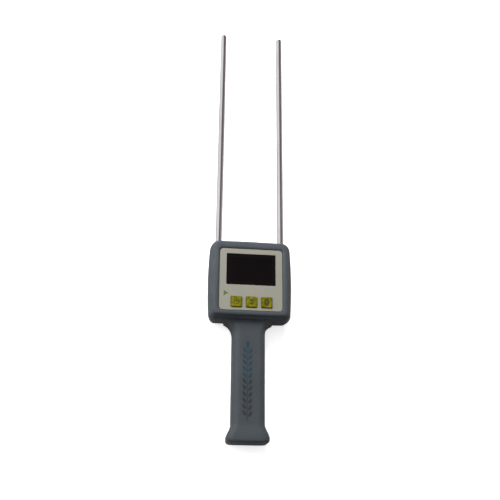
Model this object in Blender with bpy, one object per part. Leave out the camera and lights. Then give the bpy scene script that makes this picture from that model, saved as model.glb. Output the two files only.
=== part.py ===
"""Handheld grain moisture meter, lying on its back.

The frame: +Z is the normal of the display, +Y runs along the probe rods to their tips, and the
origin is below the middle of the bounding box, on the plane that the back rests on.

The housing is one hollow body, cut into a front shell, a rear shell and a battery cover. Its head is
a stack of bowed rounded squares, and its handle a row of rounded sections.
"""

import math

import bpy
from mathutils import Matrix, Vector

MM = 0.001
GAP = 0.3 * MM  # between pieces that touch on the real meter
FIT = 0.15 * MM  # radial clearance of round pieces that share an axis

# Overall size and the places that everything else is measured from.
LENGTH = 405.4 * MM
END_Y = -LENGTH / 2
TIP_Y = LENGTH / 2
HEAD_Y = END_Y + 138.0 * MM  # middle of the front panel
OUTLINE_Y = HEAD_Y + 1.2 * MM  # middle of the head, whose rim is wider above the panel than below it
PARTING_Z = 17.0 * MM  # the two shells meet on the axis of the rods

# Front panel, and the window, keys and indicator in it.
PANEL_X, PANEL_Y = 27.75 * MM, 28.2 * MM  # half sizes
PANEL_RADIUS = 3.4 * MM
PANEL_TOP = 31.0 * MM
PANEL_THICK = 1.0 * MM
POCKET_Z = PANEL_TOP - PANEL_THICK - GAP
WINDOW_X, WINDOW_Y = 21.8 * MM, 14.45 * MM
WINDOW_CENTRE = HEAD_Y + 9.2 * MM
VIEW_X, VIEW_Y = 19.5 * MM, 12.3 * MM
KEY_HALF = 4.8 * MM
KEY_ROW_Y = HEAD_Y - 20.8 * MM
KEY_PITCH = 13.2 * MM
KEY_ROW_X = 0.6 * MM
KEY_TOP = PANEL_TOP + 1.2 * MM
INDICATOR = (-22.5 * MM, HEAD_Y - 13.3 * MM)
INDICATOR_RADIUS = 1.8 * MM

# Head: (height, how far the outline stands outside the panel), back to front.
BEZEL_TOP = 32.0 * MM
BEZEL_RADIUS = 2.8 * MM
BEZEL_RIM = 6.1 * MM
HEAD_PROFILE = [
    (0.0 * MM, 3.8 * MM),
    (0.6 * MM, 5.0 * MM),
    (2.0 * MM, 5.8 * MM),
    (5.0 * MM, 7.1 * MM),
    (9.0 * MM, 8.0 * MM),
    (13.0 * MM, 8.5 * MM),
    (17.0 * MM, 9.1 * MM),
    (20.0 * MM, 9.2 * MM),
    (23.5 * MM, 8.8 * MM),
    (26.0 * MM, 8.0 * MM),
    (27.8 * MM, 6.9 * MM),
    (28.3 * MM, 6.3 * MM),
    (28.7 * MM, BEZEL_RIM),
]
WIDEST = 9.0 * MM  # the outline's margin where the bow is as stated below
SIDE_BOW, END_BOW = 1.4 * MM, 0.5 * MM
SIDE_EXTRA = 0.3 * MM
CORNER = 2.4 * MM
CORNER_EXTRA = (5.8 * MM, 3.0 * MM)  # at the widest outline, on the corners above and below the panel
HEAD_WALL = 2.2 * MM
HEAD_FLOOR = 2.0 * MM
HEAD_CEILING = 27.4 * MM

# Handle, by distance from its end.
HANDLE_HALF = 14.1 * MM
HANDLE_TOP = 23.0 * MM
HANDLE_WALL = 1.45 * MM
HANDLE_SKIN = 1.8 * MM
FLARE_HALF = 18.1 * MM
FLARE_RISE = 1.0 * MM
FLARE_FROM, FLARE_TO = 4.0 * MM, 15.5 * MM
END_RADIUS = 3.0 * MM
NECK_FROM = 91.4 * MM
NECK_RADIUS = 12.5 * MM
NECK_TO = 102.9 * MM
BROW_FROM, BROW_RADIUS, BROW_TO = 99.3 * MM, 3.5 * MM, 102.3 * MM
HANDLE_INSIDE_HEAD = 113.0 * MM

# Battery bay, with two columns of two cells, and its sliding cover.
COVER_TOP_Y = END_Y + 93.0 * MM
COVER_SPLIT_Z = 6.0 * MM
CELL_X, CELL_Z = 6.9 * MM, 8.4 * MM
CELL_RADIUS, CELL_LENGTH = 5.1 * MM, 43.6 * MM
NUB_RADIUS, NUB_LENGTH = 1.8 * MM, 0.9 * MM
CELLS_Y = (END_Y + 5.4 * MM, END_Y + 50.2 * MM)  # low ends
BAY_CEILING = (14.1 * MM, 15.4 * MM)
BAY_END = (END_Y + 96.1 * MM, END_Y + 97.6 * MM)
CONTACT_THICK = 0.4 * MM

# Probe rods and what holds them.
ROD_X = 28.4 * MM
ROD_RADIUS, ROD_BORE = 3.0 * MM, 1.85 * MM
BUSH_TOP_Y = HEAD_Y + 38.2 * MM
BUSH_RADIUS, BUSH_FLANGE = 4.5 * MM, 5.4 * MM
FLANGE_Y = (HEAD_Y + 30.6 * MM, HEAD_Y + 33.0 * MM)
SHOULDER_Y = HEAD_Y + 30.0 * MM

# Screws, and the board.
HEAD_SCREWS = {
    "screw_top_left": (-17.0 * MM, HEAD_Y + 28.6 * MM),
    "screw_top_right": (17.0 * MM, HEAD_Y + 28.6 * MM),
    "screw_bottom_left": (-26.5 * MM, HEAD_Y - 25.6 * MM),
    "screw_bottom_right": (26.5 * MM, HEAD_Y - 25.6 * MM),
}
SCREW_SEAT, SCREW_END = 7.5 * MM, 21.5 * MM
SHANK_RADIUS, SHANK_HOLE = 1.45 * MM, 1.75 * MM
END_SCREWS = {
    "screw_end_left": (-14.6 * MM, END_Y + 7.0 * MM),
    "screw_end_right": (14.6 * MM, END_Y + 7.0 * MM),
}
END_SEAT, END_SCREW_END = 9.5 * MM, 19.0 * MM
END_SHANK, END_HOLE = 0.95 * MM, 1.15 * MM
BOARD_Z = (20.6 * MM, 22.2 * MM)
BOARD_SCREWS = {
    "board_screw_top_left": (-28.0 * MM, HEAD_Y + 11.9 * MM),
    "board_screw_top_right": (28.0 * MM, HEAD_Y + 11.9 * MM),
    "board_screw_bottom_left": (-28.0 * MM, HEAD_Y - 15.1 * MM),
    "board_screw_bottom_right": (28.0 * MM, HEAD_Y - 15.1 * MM),
}

COLOURS = {  # base colour, roughness, metallic
    "housing_plastic": ((0.10, 0.115, 0.135), 0.45, 0.0),
    "panel_cream": ((0.42, 0.42, 0.36), 0.40, 0.0),
    "window_black": ((0.008, 0.008, 0.010), 0.12, 0.0),
    "key_yellow": ((0.45, 0.40, 0.03), 0.50, 0.0),
    "indicator_green": ((0.10, 0.25, 0.05), 0.25, 0.0),
    "stainless_steel": ((0.62, 0.61, 0.60), 0.18, 1.0),
    "bush_nylon": ((0.02, 0.02, 0.022), 0.50, 0.0),
    "board_green": ((0.02, 0.12, 0.05), 0.40, 0.0),
    "component_black": ((0.015, 0.015, 0.016), 0.50, 0.0),
    "connector_white": ((0.70, 0.68, 0.62), 0.50, 0.0),
    "zinc_steel": ((0.45, 0.45, 0.46), 0.30, 1.0),
    "tinned_copper": ((0.60, 0.58, 0.54), 0.30, 1.0),
    "lead_red": ((0.45, 0.02, 0.02), 0.50, 0.0),
    "lead_black": ((0.015, 0.015, 0.015), 0.50, 0.0),
    "battery_case": ((0.05, 0.05, 0.06), 0.40, 0.0),
    "label_silver": ((0.50, 0.51, 0.52), 0.40, 0.0),
}


# ---- Shapes: each is (points, faces) of one closed surface whose faces point out ----


def loft_shape(rings):
    """A skin over rings of equally many points, closed by a flat face at each end."""
    count = len(rings[0])
    points = [point for ring in rings for point in ring]
    faces = [list(range(count))[::-1], list(range(len(points) - count, len(points)))]
    for k in range(len(rings) - 1):
        low, high = k * count, (k + 1) * count
        for i in range(count):
            j = (i + 1) % count
            faces.append([low + i, low + j, high + j, high + i])
    return points, faces


def prism_shape(outline, low, high):
    """An outline in X and Y, counter-clockwise, extruded from one height to another."""
    return loft_shape([[(x, y, z) for x, y in outline] for z in (low, high)])


def box_shape(low, high):
    corners = [(low[0], low[1]), (high[0], low[1]), (high[0], high[1]), (low[0], high[1])]
    return prism_shape(corners, low[2], high[2])


def lathe_shape(profile, origin, axis, steps=16):
    """(radius, distance along the axis) pairs turned about the axis, from its near end to its far end.

    A profile that starts and ends on the axis is a solid piece. Otherwise it is a closed loop, as of a
    tube.
    """
    turn = Vector((0, 0, 1)).rotation_difference(Vector(axis)).to_matrix()
    points, rings = [], []
    for radius, along in profile:
        count = steps if radius > 0 else 1
        rings.append(range(len(points), len(points) + count))
        for i in range(count):
            angle = 2 * math.pi * (i + 0.5) / steps
            local = Vector((radius * math.cos(angle), radius * math.sin(angle), along))
            points.append(Vector(origin) + turn @ local)
    pairs = list(zip(rings, rings[1:]))
    if profile[0][0] > 0:
        pairs.append((rings[-1], rings[0]))
    faces = []
    for low, high in pairs:
        for i in range(steps):
            j = (i + 1) % steps
            corners = [low[i % len(low)], low[j % len(low)], high[j % len(high)], high[i % len(high)]]
            faces.append(list(dict.fromkeys(corners)))
    return points, [face for face in faces if len(face) > 2]


def rod_shape(start, end, radius, steps=16):
    """A plain cylinder between two points."""
    axis = Vector(end) - Vector(start)
    return lathe_shape([(0, 0), (radius, 0), (radius, axis.length), (0, axis.length)], start, axis, steps)


def tube_shape(start, end, inner, outer, steps=16):
    axis = Vector(end) - Vector(start)
    loop = [(inner, 0), (outer, 0), (outer, axis.length), (inner, axis.length)]
    return lathe_shape(loop, start, axis, steps)


# ---- Outlines and sections ----


def rounded_rectangle(half_x, half_y, radius, centre=(0, 0), corner_steps=6, side_steps=1):
    """Points counter-clockwise from the middle of the right side's lower corner. radius may be four
    radii, for the corners right-top, left-top, left-bottom and right-bottom."""
    radii = list(radius) if isinstance(radius, (list, tuple)) else [radius] * 4
    arcs = []
    for (sign_x, sign_y), r, start in zip(((1, 1), (-1, 1), (-1, -1), (1, -1)), radii, (0, 90, 180, 270)):
        arc = []
        for i in range(corner_steps + 1):
            angle = math.radians(start + 90 * i / corner_steps)
            x = sign_x * (half_x - r) + r * math.cos(angle)
            y = sign_y * (half_y - r) + r * math.sin(angle)
            arc.append(Vector((x, y)))
        arcs.append(arc)
    outline = []
    for arc, following in zip(arcs, arcs[1:] + arcs[:1]):
        outline += arc
        outline += [arc[-1].lerp(following[0], i / side_steps) for i in range(1, side_steps)]
    return [(x + centre[0], y + centre[1]) for x, y in outline]


def head_ring(z, margin, inset=0.0):
    """The head's outline at one height: a rounded square whose sides are bowed outwards."""
    bow = max(margin, 0) / WIDEST
    half_x = PANEL_X + margin - inset + (SIDE_EXTRA - SIDE_BOW) * bow
    half_y = PANEL_Y + margin - inset - END_BOW * bow
    widening = (margin / WIDEST) ** 3
    upper, lower = (max(CORNER + extra * widening - inset, 1.0 * MM) for extra in CORNER_EXTRA)
    radii = (upper, upper, lower, lower)
    ring = []
    for x, y in rounded_rectangle(half_x, half_y, radii, corner_steps=5, side_steps=4):
        bowed_x = x + SIDE_BOW * bow * (x / half_x) * (1 - (y / half_y) ** 2)
        bowed_y = y + END_BOW * bow * (y / half_y) * (1 - (x / half_x) ** 2)
        ring.append((bowed_x, OUTLINE_Y + bowed_y, z))
    return ring


def head_margin(z):
    """The outline's margin at any height below the bezel, between the profile's points."""
    for (z0, m0), (z1, m1) in zip(HEAD_PROFILE, HEAD_PROFILE[1:]):
        if z <= z1:
            return m0 + (m1 - m0) * (z - z0) / (z1 - z0)
    return BEZEL_RIM


def smooth(t):
    t = min(max(t, 0.0), 1.0)
    return t * t * (3 - 2 * t)


def arc_rise(distance, radius):
    """How far a quarter round has risen from its tangent, at a distance along it."""
    return radius - math.sqrt(max(radius**2 - distance**2, 0.0))


def handle_ring(s, inset_x=0.0, inset_top=0.0, inset_back=0.0, front_radius=6.0 * MM, back_radius=5.0 * MM):
    """The handle's section at the distance s from its end, as a ring in the XZ plane."""
    flare = smooth((FLARE_TO - s) / (FLARE_TO - FLARE_FROM))
    half = HANDLE_HALF + (FLARE_HALF - HANDLE_HALF) * flare - inset_x
    top = HANDLE_TOP + FLARE_RISE * flare - inset_top
    if s > NECK_FROM:
        half += arc_rise(min(s, NECK_TO) - NECK_FROM, NECK_RADIUS)
    if s > BROW_FROM and not inset_top:
        top += arc_rise(min(s, BROW_TO) - BROW_FROM, BROW_RADIUS)
    low = inset_back
    radii = [front_radius, front_radius, back_radius, back_radius]
    middle = (0, (top + low) / 2)
    section = rounded_rectangle(half, (top - low) / 2, radii, middle, corner_steps=5, side_steps=2)
    return [(x, END_Y + s, z) for x, z in section[::-1]]


def steps_between(start, end, count):
    return [start + (end - start) * i / count for i in range(count + 1)]


# ---- Objects ----


def material(name):
    found = bpy.data.materials.get(name)
    if found is None:
        colour, roughness, metallic = COLOURS[name]
        found = bpy.data.materials.new(name)
        found.use_nodes = True
        shader = found.node_tree.nodes["Principled BSDF"]
        shader.inputs["Base Color"].default_value = (*colour, 1.0)
        shader.inputs["Roughness"].default_value = roughness
        shader.inputs["Metallic"].default_value = metallic
        found.diffuse_color = (*colour, 1.0)
    return found


def build(name, shapes, finish, parent=None):
    """One object of one or more shapes. A visible piece has a single shape; helpers hold several."""
    points, faces = [], []
    for shape_points, shape_faces in shapes:
        faces += [[len(points) + i for i in face] for face in shape_faces]
        points += [Vector(p) for p in shape_points]
    origin = parent.location.copy() if parent else Vector()
    mesh = bpy.data.meshes.new(name)
    mesh.from_pydata([p - origin for p in points], [], faces)
    mesh.shade_smooth()
    mesh.set_sharp_from_angle(angle=math.radians(35))
    obj = bpy.data.objects.new(name, mesh)
    bpy.context.scene.collection.objects.link(obj)
    obj.parent = parent
    if finish:
        mesh.materials.append(material(finish))
    return obj


def helper(name, *shapes):
    """A cutter or other shape that isn't a piece of the meter."""
    obj = build(name, shapes, None)
    obj.hide_render = True
    obj.display_type = "WIRE"
    return obj


def combine(target, operation, other):
    modifier = target.modifiers.new(f"{operation.lower()} {other.name}", "BOOLEAN")
    modifier.operation = operation
    modifier.solver = "EXACT"
    modifier.object = other


def moving_frame(name, location):
    """An empty on a joint's axis, which the pieces of one moving body are parented to."""
    empty = bpy.data.objects.new(name, None)
    empty.location = location
    bpy.context.scene.collection.objects.link(empty)
    return empty


def lead(name, route, radius, finish):
    """A wire along a smooth curve through the route's points."""
    points = [Vector(p) for p in route]
    padded = [2 * points[0] - points[1], *points, 2 * points[-1] - points[-2]]
    line = []
    for a, b, c, d in zip(padded, padded[1:], padded[2:], padded[3:]):
        for t in steps_between(0, 1, 3)[:-1]:
            ahead = (c - a) / 2
            behind = (d - b) / 2
            line.append(
                (2 * t**3 - 3 * t**2 + 1) * b + (t**3 - 2 * t**2 + t) * ahead
                + (3 * t**2 - 2 * t**3) * c + (t**3 - t**2) * behind
            )
    line.append(points[-1])
    curve = bpy.data.curves.new(name, "CURVE")
    curve.dimensions = "3D"
    curve.bevel_depth = radius
    curve.bevel_resolution = 1
    curve.use_fill_caps = True
    spline = curve.splines.new("POLY")
    spline.points.add(len(line) - 1)
    for point, place in zip(spline.points, line):
        point.co = (*place, 1.0)
    obj = bpy.data.objects.new(name, curve)
    curve.materials.append(material(finish))
    bpy.context.scene.collection.objects.link(obj)


# ---- Housing ----


def head_outside():
    rings = [head_ring(z, margin) for z, margin in HEAD_PROFILE]
    for angle in steps_between(0, 90, 4):
        turn = math.radians(angle)
        margin = BEZEL_RIM - BEZEL_RADIUS * (1 - math.cos(turn))
        rings.append(head_ring(BEZEL_TOP - BEZEL_RADIUS * (1 - math.sin(turn)), margin))
    return loft_shape(rings)


def head_inside():
    heights = (HEAD_FLOOR, 5 * MM, 9 * MM, 13 * MM, 17 * MM, 21 * MM, 25 * MM, HEAD_CEILING)
    return loft_shape([head_ring(z, head_margin(z), HEAD_WALL) for z in heights])


def handle_outside():
    rings = []
    for angle in steps_between(0, 90, 5):
        turn = math.radians(angle)
        inset = END_RADIUS * (1 - math.sin(turn))
        rings.append(handle_ring(END_RADIUS * (1 - math.cos(turn)), inset, inset, inset * 0.4))
    rings += [handle_ring(s) for s in steps_between(FLARE_FROM, FLARE_TO, 8)]
    rings += [handle_ring(s) for s in steps_between(NECK_FROM, BROW_FROM, 5)]
    rings += [handle_ring(s) for s in steps_between(BROW_FROM, NECK_TO, 6)[1:]]
    rings.append(handle_ring(HANDLE_INSIDE_HEAD))
    return loft_shape(rings[::-1])


def handle_inside():
    places = [1.7 * MM, *steps_between(FLARE_FROM, FLARE_TO, 6), *steps_between(NECK_FROM, NECK_TO, 6)]
    rings = []
    for s in [*places, HANDLE_INSIDE_HEAD + 6 * MM]:
        wall = HANDLE_WALL + 2.0 * MM * smooth((s - NECK_FROM) / (NECK_TO - NECK_FROM))
        rings.append(handle_ring(s, wall, HANDLE_SKIN, HANDLE_SKIN, 4.0 * MM, 3.2 * MM))
    return loft_shape(rings[::-1])


def cup_shape(place, inner, outer, low, bottom, high):
    """An upright post whose hole opens at its low end."""
    profile = [(inner, low), (outer, low), (outer, high), (0, high), (0, bottom), (inner, bottom)]
    return lathe_shape(profile, (*place, 0), (0, 0, 1))


def screw_post(place):
    """A wide foot for a countersunk head, and a slimmer post above it."""
    slim, wide, step = 3.5 * MM, 4.6 * MM, 9.2 * MM
    profile = [(0, 0), (wide, 0), (wide, step), (slim, step), (slim, 28.5 * MM), (0, 28.5 * MM)]
    return lathe_shape(profile, (*place, 1.0 * MM), (0, 0, 1))


def housing_helpers():
    """The hollow inside of the housing, with the posts, ribs and walls left standing in it."""
    fittings = [screw_post(place) for place in HEAD_SCREWS.values()]
    for place in END_SCREWS.values():
        fittings.append(cup_shape(place, END_HOLE, 2.35 * MM, END_SEAT, 20 * MM, 24 * MM))
    for place in BOARD_SCREWS.values():
        fittings.append(cup_shape(place, 1.2 * MM, 2.5 * MM, BOARD_Z[1] + GAP, 26.5 * MM, 28.5 * MM))
    for side in (-1, 1):
        rib_x = sorted((side * 22.4 * MM, side * 40 * MM))
        behind = (FLANGE_Y[0] - 2.2 * MM, FLANGE_Y[0] - GAP / 2)
        ahead = (FLANGE_Y[1] + GAP / 2, HEAD_Y + 37 * MM)
        for low, high in (behind, ahead):
            fittings.append(box_shape((rib_x[0], low, 1 * MM), (rib_x[1], high, 28.5 * MM)))
    bay_top = BAY_CEILING[1] - 0.2 * MM
    ceiling_low = (-25 * MM, END_Y + MM, BAY_CEILING[0])
    bay = {
        "bay_ceiling": box_shape(ceiling_low, (25 * MM, BAY_END[1], BAY_CEILING[1])),
        "bay_end": box_shape((-25 * MM, BAY_END[0], MM), (25 * MM, BAY_END[1] - 0.1 * MM, bay_top)),
        "bay_divider": box_shape((-MM, END_Y + 9 * MM, CELL_Z), (MM, END_Y + 93 * MM, BAY_CEILING[0] + MM)),
    }

    hollow = helper("hollow", head_inside())
    combine(hollow, "UNION", helper("handle_hollow", handle_inside()))
    combine(hollow, "DIFFERENCE", helper("posts_and_ribs", *fittings))
    posts = [rod_shape((*place, 10 * MM), (*place, 18 * MM), 1.75 * MM) for place in END_SCREWS.values()]
    for name, shape in bay.items():
        wall = helper(name, shape)
        if name == "bay_ceiling":
            combine(wall, "DIFFERENCE", helper("ceiling_post_holes", *posts))
        combine(hollow, "DIFFERENCE", wall)

    holes = []
    for place in HEAD_SCREWS.values():
        profile = [(0, -MM), (3.2 * MM, -MM), (3.2 * MM, SCREW_SEAT), (SHANK_HOLE, SCREW_SEAT)]
        profile += [(SHANK_HOLE, 25 * MM), (0, 25 * MM)]
        holes.append(lathe_shape(profile, (*place, 0), (0, 0, 1)))
    for place in END_SCREWS.values():
        holes.append(rod_shape((*place, COVER_SPLIT_Z + GAP / 2), (*place, END_SEAT - GAP / 2), 2.2 * MM))
    for x in (-CELL_X, CELL_X):
        low = (x - 1.5 * MM, BAY_END[0] - MM, 10.6 * MM)
        holes.append(box_shape(low, (x + 1.5 * MM, BAY_END[1] + MM, 13.2 * MM)))
    low, high = FLANGE_Y[0] - GAP, FLANGE_Y[1] + GAP
    start, end = HEAD_Y + 26 * MM, HEAD_Y + 45 * MM
    slim, wide = BUSH_RADIUS + FIT, BUSH_FLANGE + GAP
    profile = [(0, start), (slim, start), (slim, low), (wide, low)]
    profile += [(wide, high), (slim, high), (slim, end), (0, end)]
    for side in (-1, 1):
        holes.append(lathe_shape(profile, (side * ROD_X, 0, PARTING_Z), (0, 1, 0)))
    return hollow, helper("screw_and_rod_holes", *holes), helper("handle_block", handle_outside())


def housing_piece(name, housing, keep, cutters=(), parent=None):
    """The part of the housing inside one box, less what the cutters take away."""
    hollow, holes, handle = housing
    piece = build(name, [head_outside()], "housing_plastic")
    combine(piece, "UNION", handle)
    combine(piece, "DIFFERENCE", hollow)
    combine(piece, "DIFFERENCE", holes)
    for cutter in cutters:
        combine(piece, "DIFFERENCE", cutter)
    combine(piece, "INTERSECT", helper(f"{name}_extent", box_shape(*keep)))
    piece.parent = parent
    if parent:
        piece.matrix_parent_inverse = Matrix.Translation(-parent.location)
    return piece


def square(centre, half, radius, low, high, half_y=None):
    outline = rounded_rectangle(half, half_y or half, radius, centre, corner_steps=4)
    return prism_shape(outline, low, high)


def triangle(centre, radius, low, high):
    """A triangle that points along +X."""
    corners = []
    for angle in (0, 120, 240):
        turn = math.radians(angle)
        corners.append((centre[0] + radius * math.cos(turn), centre[1] + radius * math.sin(turn)))
    return prism_shape(corners, low, high)


def key_centres():
    names = ("power", "select", "measure")
    return {name: (KEY_ROW_X + (i - 1) * KEY_PITCH, KEY_ROW_Y) for i, name in enumerate(names)}


def panel_openings(low, high):
    """Cutters for the three keys and the indicator, with their clearance."""
    cutters = [square(c, KEY_HALF + GAP, 1.2 * MM, low, high) for c in key_centres().values()]
    return [*cutters, triangle(INDICATOR, INDICATOR_RADIUS + 2 * GAP, low, high)]


def make_front_shell(housing):
    pocket = square((0, HEAD_Y), PANEL_X + GAP, PANEL_RADIUS, POCKET_Z, 40 * MM, PANEL_Y + GAP)
    view = square((0, WINDOW_CENTRE), VIEW_X, 1.0 * MM, 25 * MM, 35 * MM, VIEW_Y)
    cutters = [
        helper("panel_pocket", pocket),
        helper("shell_openings", view, *panel_openings(25 * MM, 35 * MM)),
    ]
    keep = ((-0.1, -0.3, PARTING_Z + GAP / 2), (0.1, 0.1, 0.05))
    housing_piece("front_shell", housing, keep, cutters)


def make_rear_shell(housing):
    bay = box_shape((-0.05, -0.3, -0.01), (0.05, COVER_TOP_Y + GAP, COVER_SPLIT_Z + GAP))
    rebates = []
    for side in (-1, 1):
        edge = sorted((side * 12.0 * MM, side * 13.5 * MM))
        low = (edge[0], END_Y - 5 * MM, COVER_SPLIT_Z - MM)
        rebates.append(box_shape(low, (edge[1], COVER_TOP_Y + GAP, 7.6 * MM)))
    recess = square((0, HEAD_Y + 2 * MM), 20 * MM, 1.5 * MM, -MM, 0.8 * MM, 12.5 * MM)
    cutters = [
        helper("battery_bay_opening", bay),
        helper("cover_rebates", *rebates),
        helper("label_recess", recess),
    ]
    keep = ((-0.1, -0.3, -0.01), (0.1, 0.1, PARTING_Z - GAP / 2))
    housing_piece("rear_shell", housing, keep, cutters)
    label = square((0, HEAD_Y + 2 * MM), 19.6 * MM, 1.2 * MM, 0.2 * MM, 0.5 * MM, 12.1 * MM)
    build("rating_label", [label], "label_silver")


def make_battery_cover(housing):
    frame = moving_frame("battery_cover_frame", (0, COVER_TOP_Y, 0))
    keep = ((-0.05, -0.3, -0.01), (0.05, COVER_TOP_Y, COVER_SPLIT_Z))
    cover = housing_piece("battery_cover", housing, keep, parent=frame)
    tongues = []
    for side in (-1, 1):
        hook = sorted((side * 4 * MM, side * 9 * MM))
        root = (COVER_TOP_Y - 2.5 * MM, COVER_TOP_Y + 2.6 * MM)
        step = (COVER_TOP_Y - 0.4 * MM, 2.1 * MM)
        profile = [(root[0], MM), (step[0], MM), step]
        profile += [(root[1], step[1]), (root[1], 3 * MM), (root[0], 3 * MM)]
        tongues.append(loft_shape([[(x, y, z) for y, z in profile] for x in hook]))
        rail = sorted((side * 12.8 * MM, side * 13.25 * MM))
        low = (rail[0], END_Y + 17.0 * MM, 4.8 * MM)
        tongues.append(box_shape(low, (rail[1], COVER_TOP_Y - MM, 7.2 * MM)))
    combine(cover, "UNION", helper("cover_tongues", *tongues))
    grooves = []
    for i in range(5):
        y = COVER_TOP_Y - (6 + 2.2 * i) * MM
        grooves.append(box_shape((-7 * MM, y - 0.5 * MM, -MM), (7 * MM, y + 0.5 * MM, 0.6 * MM)))
    combine(cover, "DIFFERENCE", helper("cover_grip", *grooves))
    floor_cut = box_shape((-0.05, -0.3, -MM), (0.05, COVER_TOP_Y + MM, 0.15 * MM))
    combine(cover, "DIFFERENCE", helper("cover_standoff", floor_cut))


# ---- Front panel, window, keys and display ----


def make_panel():
    plate = square((0, HEAD_Y), PANEL_X, PANEL_RADIUS - GAP, PANEL_TOP - PANEL_THICK, PANEL_TOP, PANEL_Y)
    panel = build("front_panel", [plate], "panel_cream")
    window = square((0, WINDOW_CENTRE), WINDOW_X, 1.1 * MM, 28 * MM, 34 * MM, WINDOW_Y)
    combine(panel, "DIFFERENCE", helper("panel_cutouts", window, *panel_openings(28 * MM, 34 * MM)))
    low = PANEL_TOP - PANEL_THICK
    lens = square((0, WINDOW_CENTRE), WINDOW_X - GAP, 0.8 * MM, low, low + 0.75 * MM, WINDOW_Y - GAP)
    build("display_window", [lens], "window_black")
    centre = (0, WINDOW_CENTRE - 0.4 * MM)
    module = square(centre, 23 * MM, 0.5 * MM, BOARD_Z[1] + GAP, HEAD_CEILING - GAP, 14 * MM)
    build("display_module", [module], "component_black")


def make_keys():
    flange_top = HEAD_CEILING - GAP
    for name, centre in key_centres().items():
        frame = moving_frame(f"key_{name}_frame", (*centre, KEY_TOP))
        rings = []
        for z, half, radius in (
            (26.2 * MM, 6.0 * MM, 1.0 * MM),
            (flange_top, 6.0 * MM, 1.0 * MM),
            (flange_top, KEY_HALF, 1.0 * MM),
            (KEY_TOP - 0.5 * MM, KEY_HALF, 1.0 * MM),
            (KEY_TOP - 0.15 * MM, KEY_HALF - 0.15 * MM, 0.9 * MM),
            (KEY_TOP, KEY_HALF - 0.5 * MM, 0.7 * MM),
        ):
            outline = rounded_rectangle(half, half, radius, centre, corner_steps=4)
            rings.append([(x, y, z) for x, y in outline])
        build(f"key_{name}", [loft_shape(rings)], "key_yellow", frame)
        plunger = rod_shape((*centre, 24.1 * MM), (*centre, 25.9 * MM), 1.7 * MM, 16)
        build(f"switch_plunger_{name}", [plunger], "component_black", frame)
        body = square(centre, 3 * MM, 0.4 * MM, BOARD_Z[1] + GAP, 25.2 * MM)
        switch = build(f"switch_{name}", [body], "component_black")
        well = rod_shape((*centre, 23.3 * MM), (*centre, 27 * MM), 2.0 * MM, 16)
        combine(switch, "DIFFERENCE", helper(f"switch_{name}_well", well))


def make_indicator():
    rings = []
    for z, radius in (
        (26.3 * MM, INDICATOR_RADIUS + 1.2 * MM),
        (HEAD_CEILING - GAP, INDICATOR_RADIUS + 1.2 * MM),
        (HEAD_CEILING - GAP, INDICATOR_RADIUS),
        (PANEL_TOP + 0.15 * MM, INDICATOR_RADIUS),
    ):
        rings.append([(x, y, z) for x, y, _ in triangle(INDICATOR, radius, 0, 1)[0][:3]])
    build("indicator_lens", [loft_shape(rings)], "indicator_green")
    foot = BOARD_Z[1] + GAP
    profile = [(0, 0), (1.9 * MM, 0), (1.9 * MM, 0.8 * MM), (1.5 * MM, 0.8 * MM), (1.5 * MM, 2.2 * MM)]
    profile += [(1.1 * MM, 2.9 * MM), (0, 3.1 * MM)]
    build("indicator_led", [lathe_shape(profile, (*INDICATOR, foot), (0, 0, 1), 16)], "indicator_green")


# ---- Board and what is on it ----


def make_board():
    wide, narrow = 31.0 * MM, 21.5 * MM
    top, shoulder, bottom = HEAD_Y + 23.4 * MM, HEAD_Y - 21.6 * MM, HEAD_Y - 25.1 * MM
    outline = [(-wide, shoulder), (-narrow, shoulder), (-narrow, bottom), (narrow, bottom)]
    outline += [(narrow, shoulder), (wide, shoulder), (wide, top), (-wide, top)]
    board = build("circuit_board", [prism_shape(outline, *BOARD_Z)], "board_green")
    holes = [rod_shape((x, y, 19 * MM), (x, y, 24 * MM), 1.25 * MM, 16) for x, y in BOARD_SCREWS.values()]
    combine(board, "DIFFERENCE", helper("board_holes", *holes))

    under = BOARD_Z[0] - GAP
    chips = {
        "microcontroller": ((-9 * MM, HEAD_Y - 6 * MM), (5 * MM, 5 * MM), 1.4 * MM),
        "measuring_chip": ((9 * MM, HEAD_Y + 4 * MM), (2.5 * MM, 3.1 * MM), 1.6 * MM),
    }
    for name, (centre, half, height) in chips.items():
        build(name, [square(centre, half[0], 0.3 * MM, under - height, under, half[1])], "component_black")
    can = [(0, 0), (2.5 * MM, 0), (2.5 * MM, 5.2 * MM), (2.1 * MM, 5.6 * MM)]
    can += [(2.5 * MM, 6 * MM), (2.5 * MM, 7 * MM), (0, 7 * MM)]
    capacitor = lathe_shape(can, (16 * MM, HEAD_Y - 14 * MM, under - 7 * MM), (0, 0, 1), 16)
    build("filter_capacitor", [capacitor], "component_black")
    for name, y in (("probe_connector", HEAD_Y + 17 * MM), ("battery_connector", HEAD_Y - 21 * MM)):
        block = box_shape((-4 * MM, y - 2.5 * MM, under - 4.8 * MM), (4 * MM, y + 2.5 * MM, under))
        build(name, [block], "connector_white")


def countersunk_screw(name, place, head, shank, low, seat, end, finish="zinc_steel"):
    """A screw that stands on its head, whose driving end has a small dished edge."""
    rim = low + 0.4 * head
    profile = [(0, rim), (0.35 * head, low), (0.85 * head, low + 0.1 * head), (head, rim)]
    profile += [(head, seat), (shank, seat), (shank, end - shank), (0.3 * shank, end), (0, end)]
    build(name, [lathe_shape(profile, (*place, 0), (0, 0, 1), 12)], finish)


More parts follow.
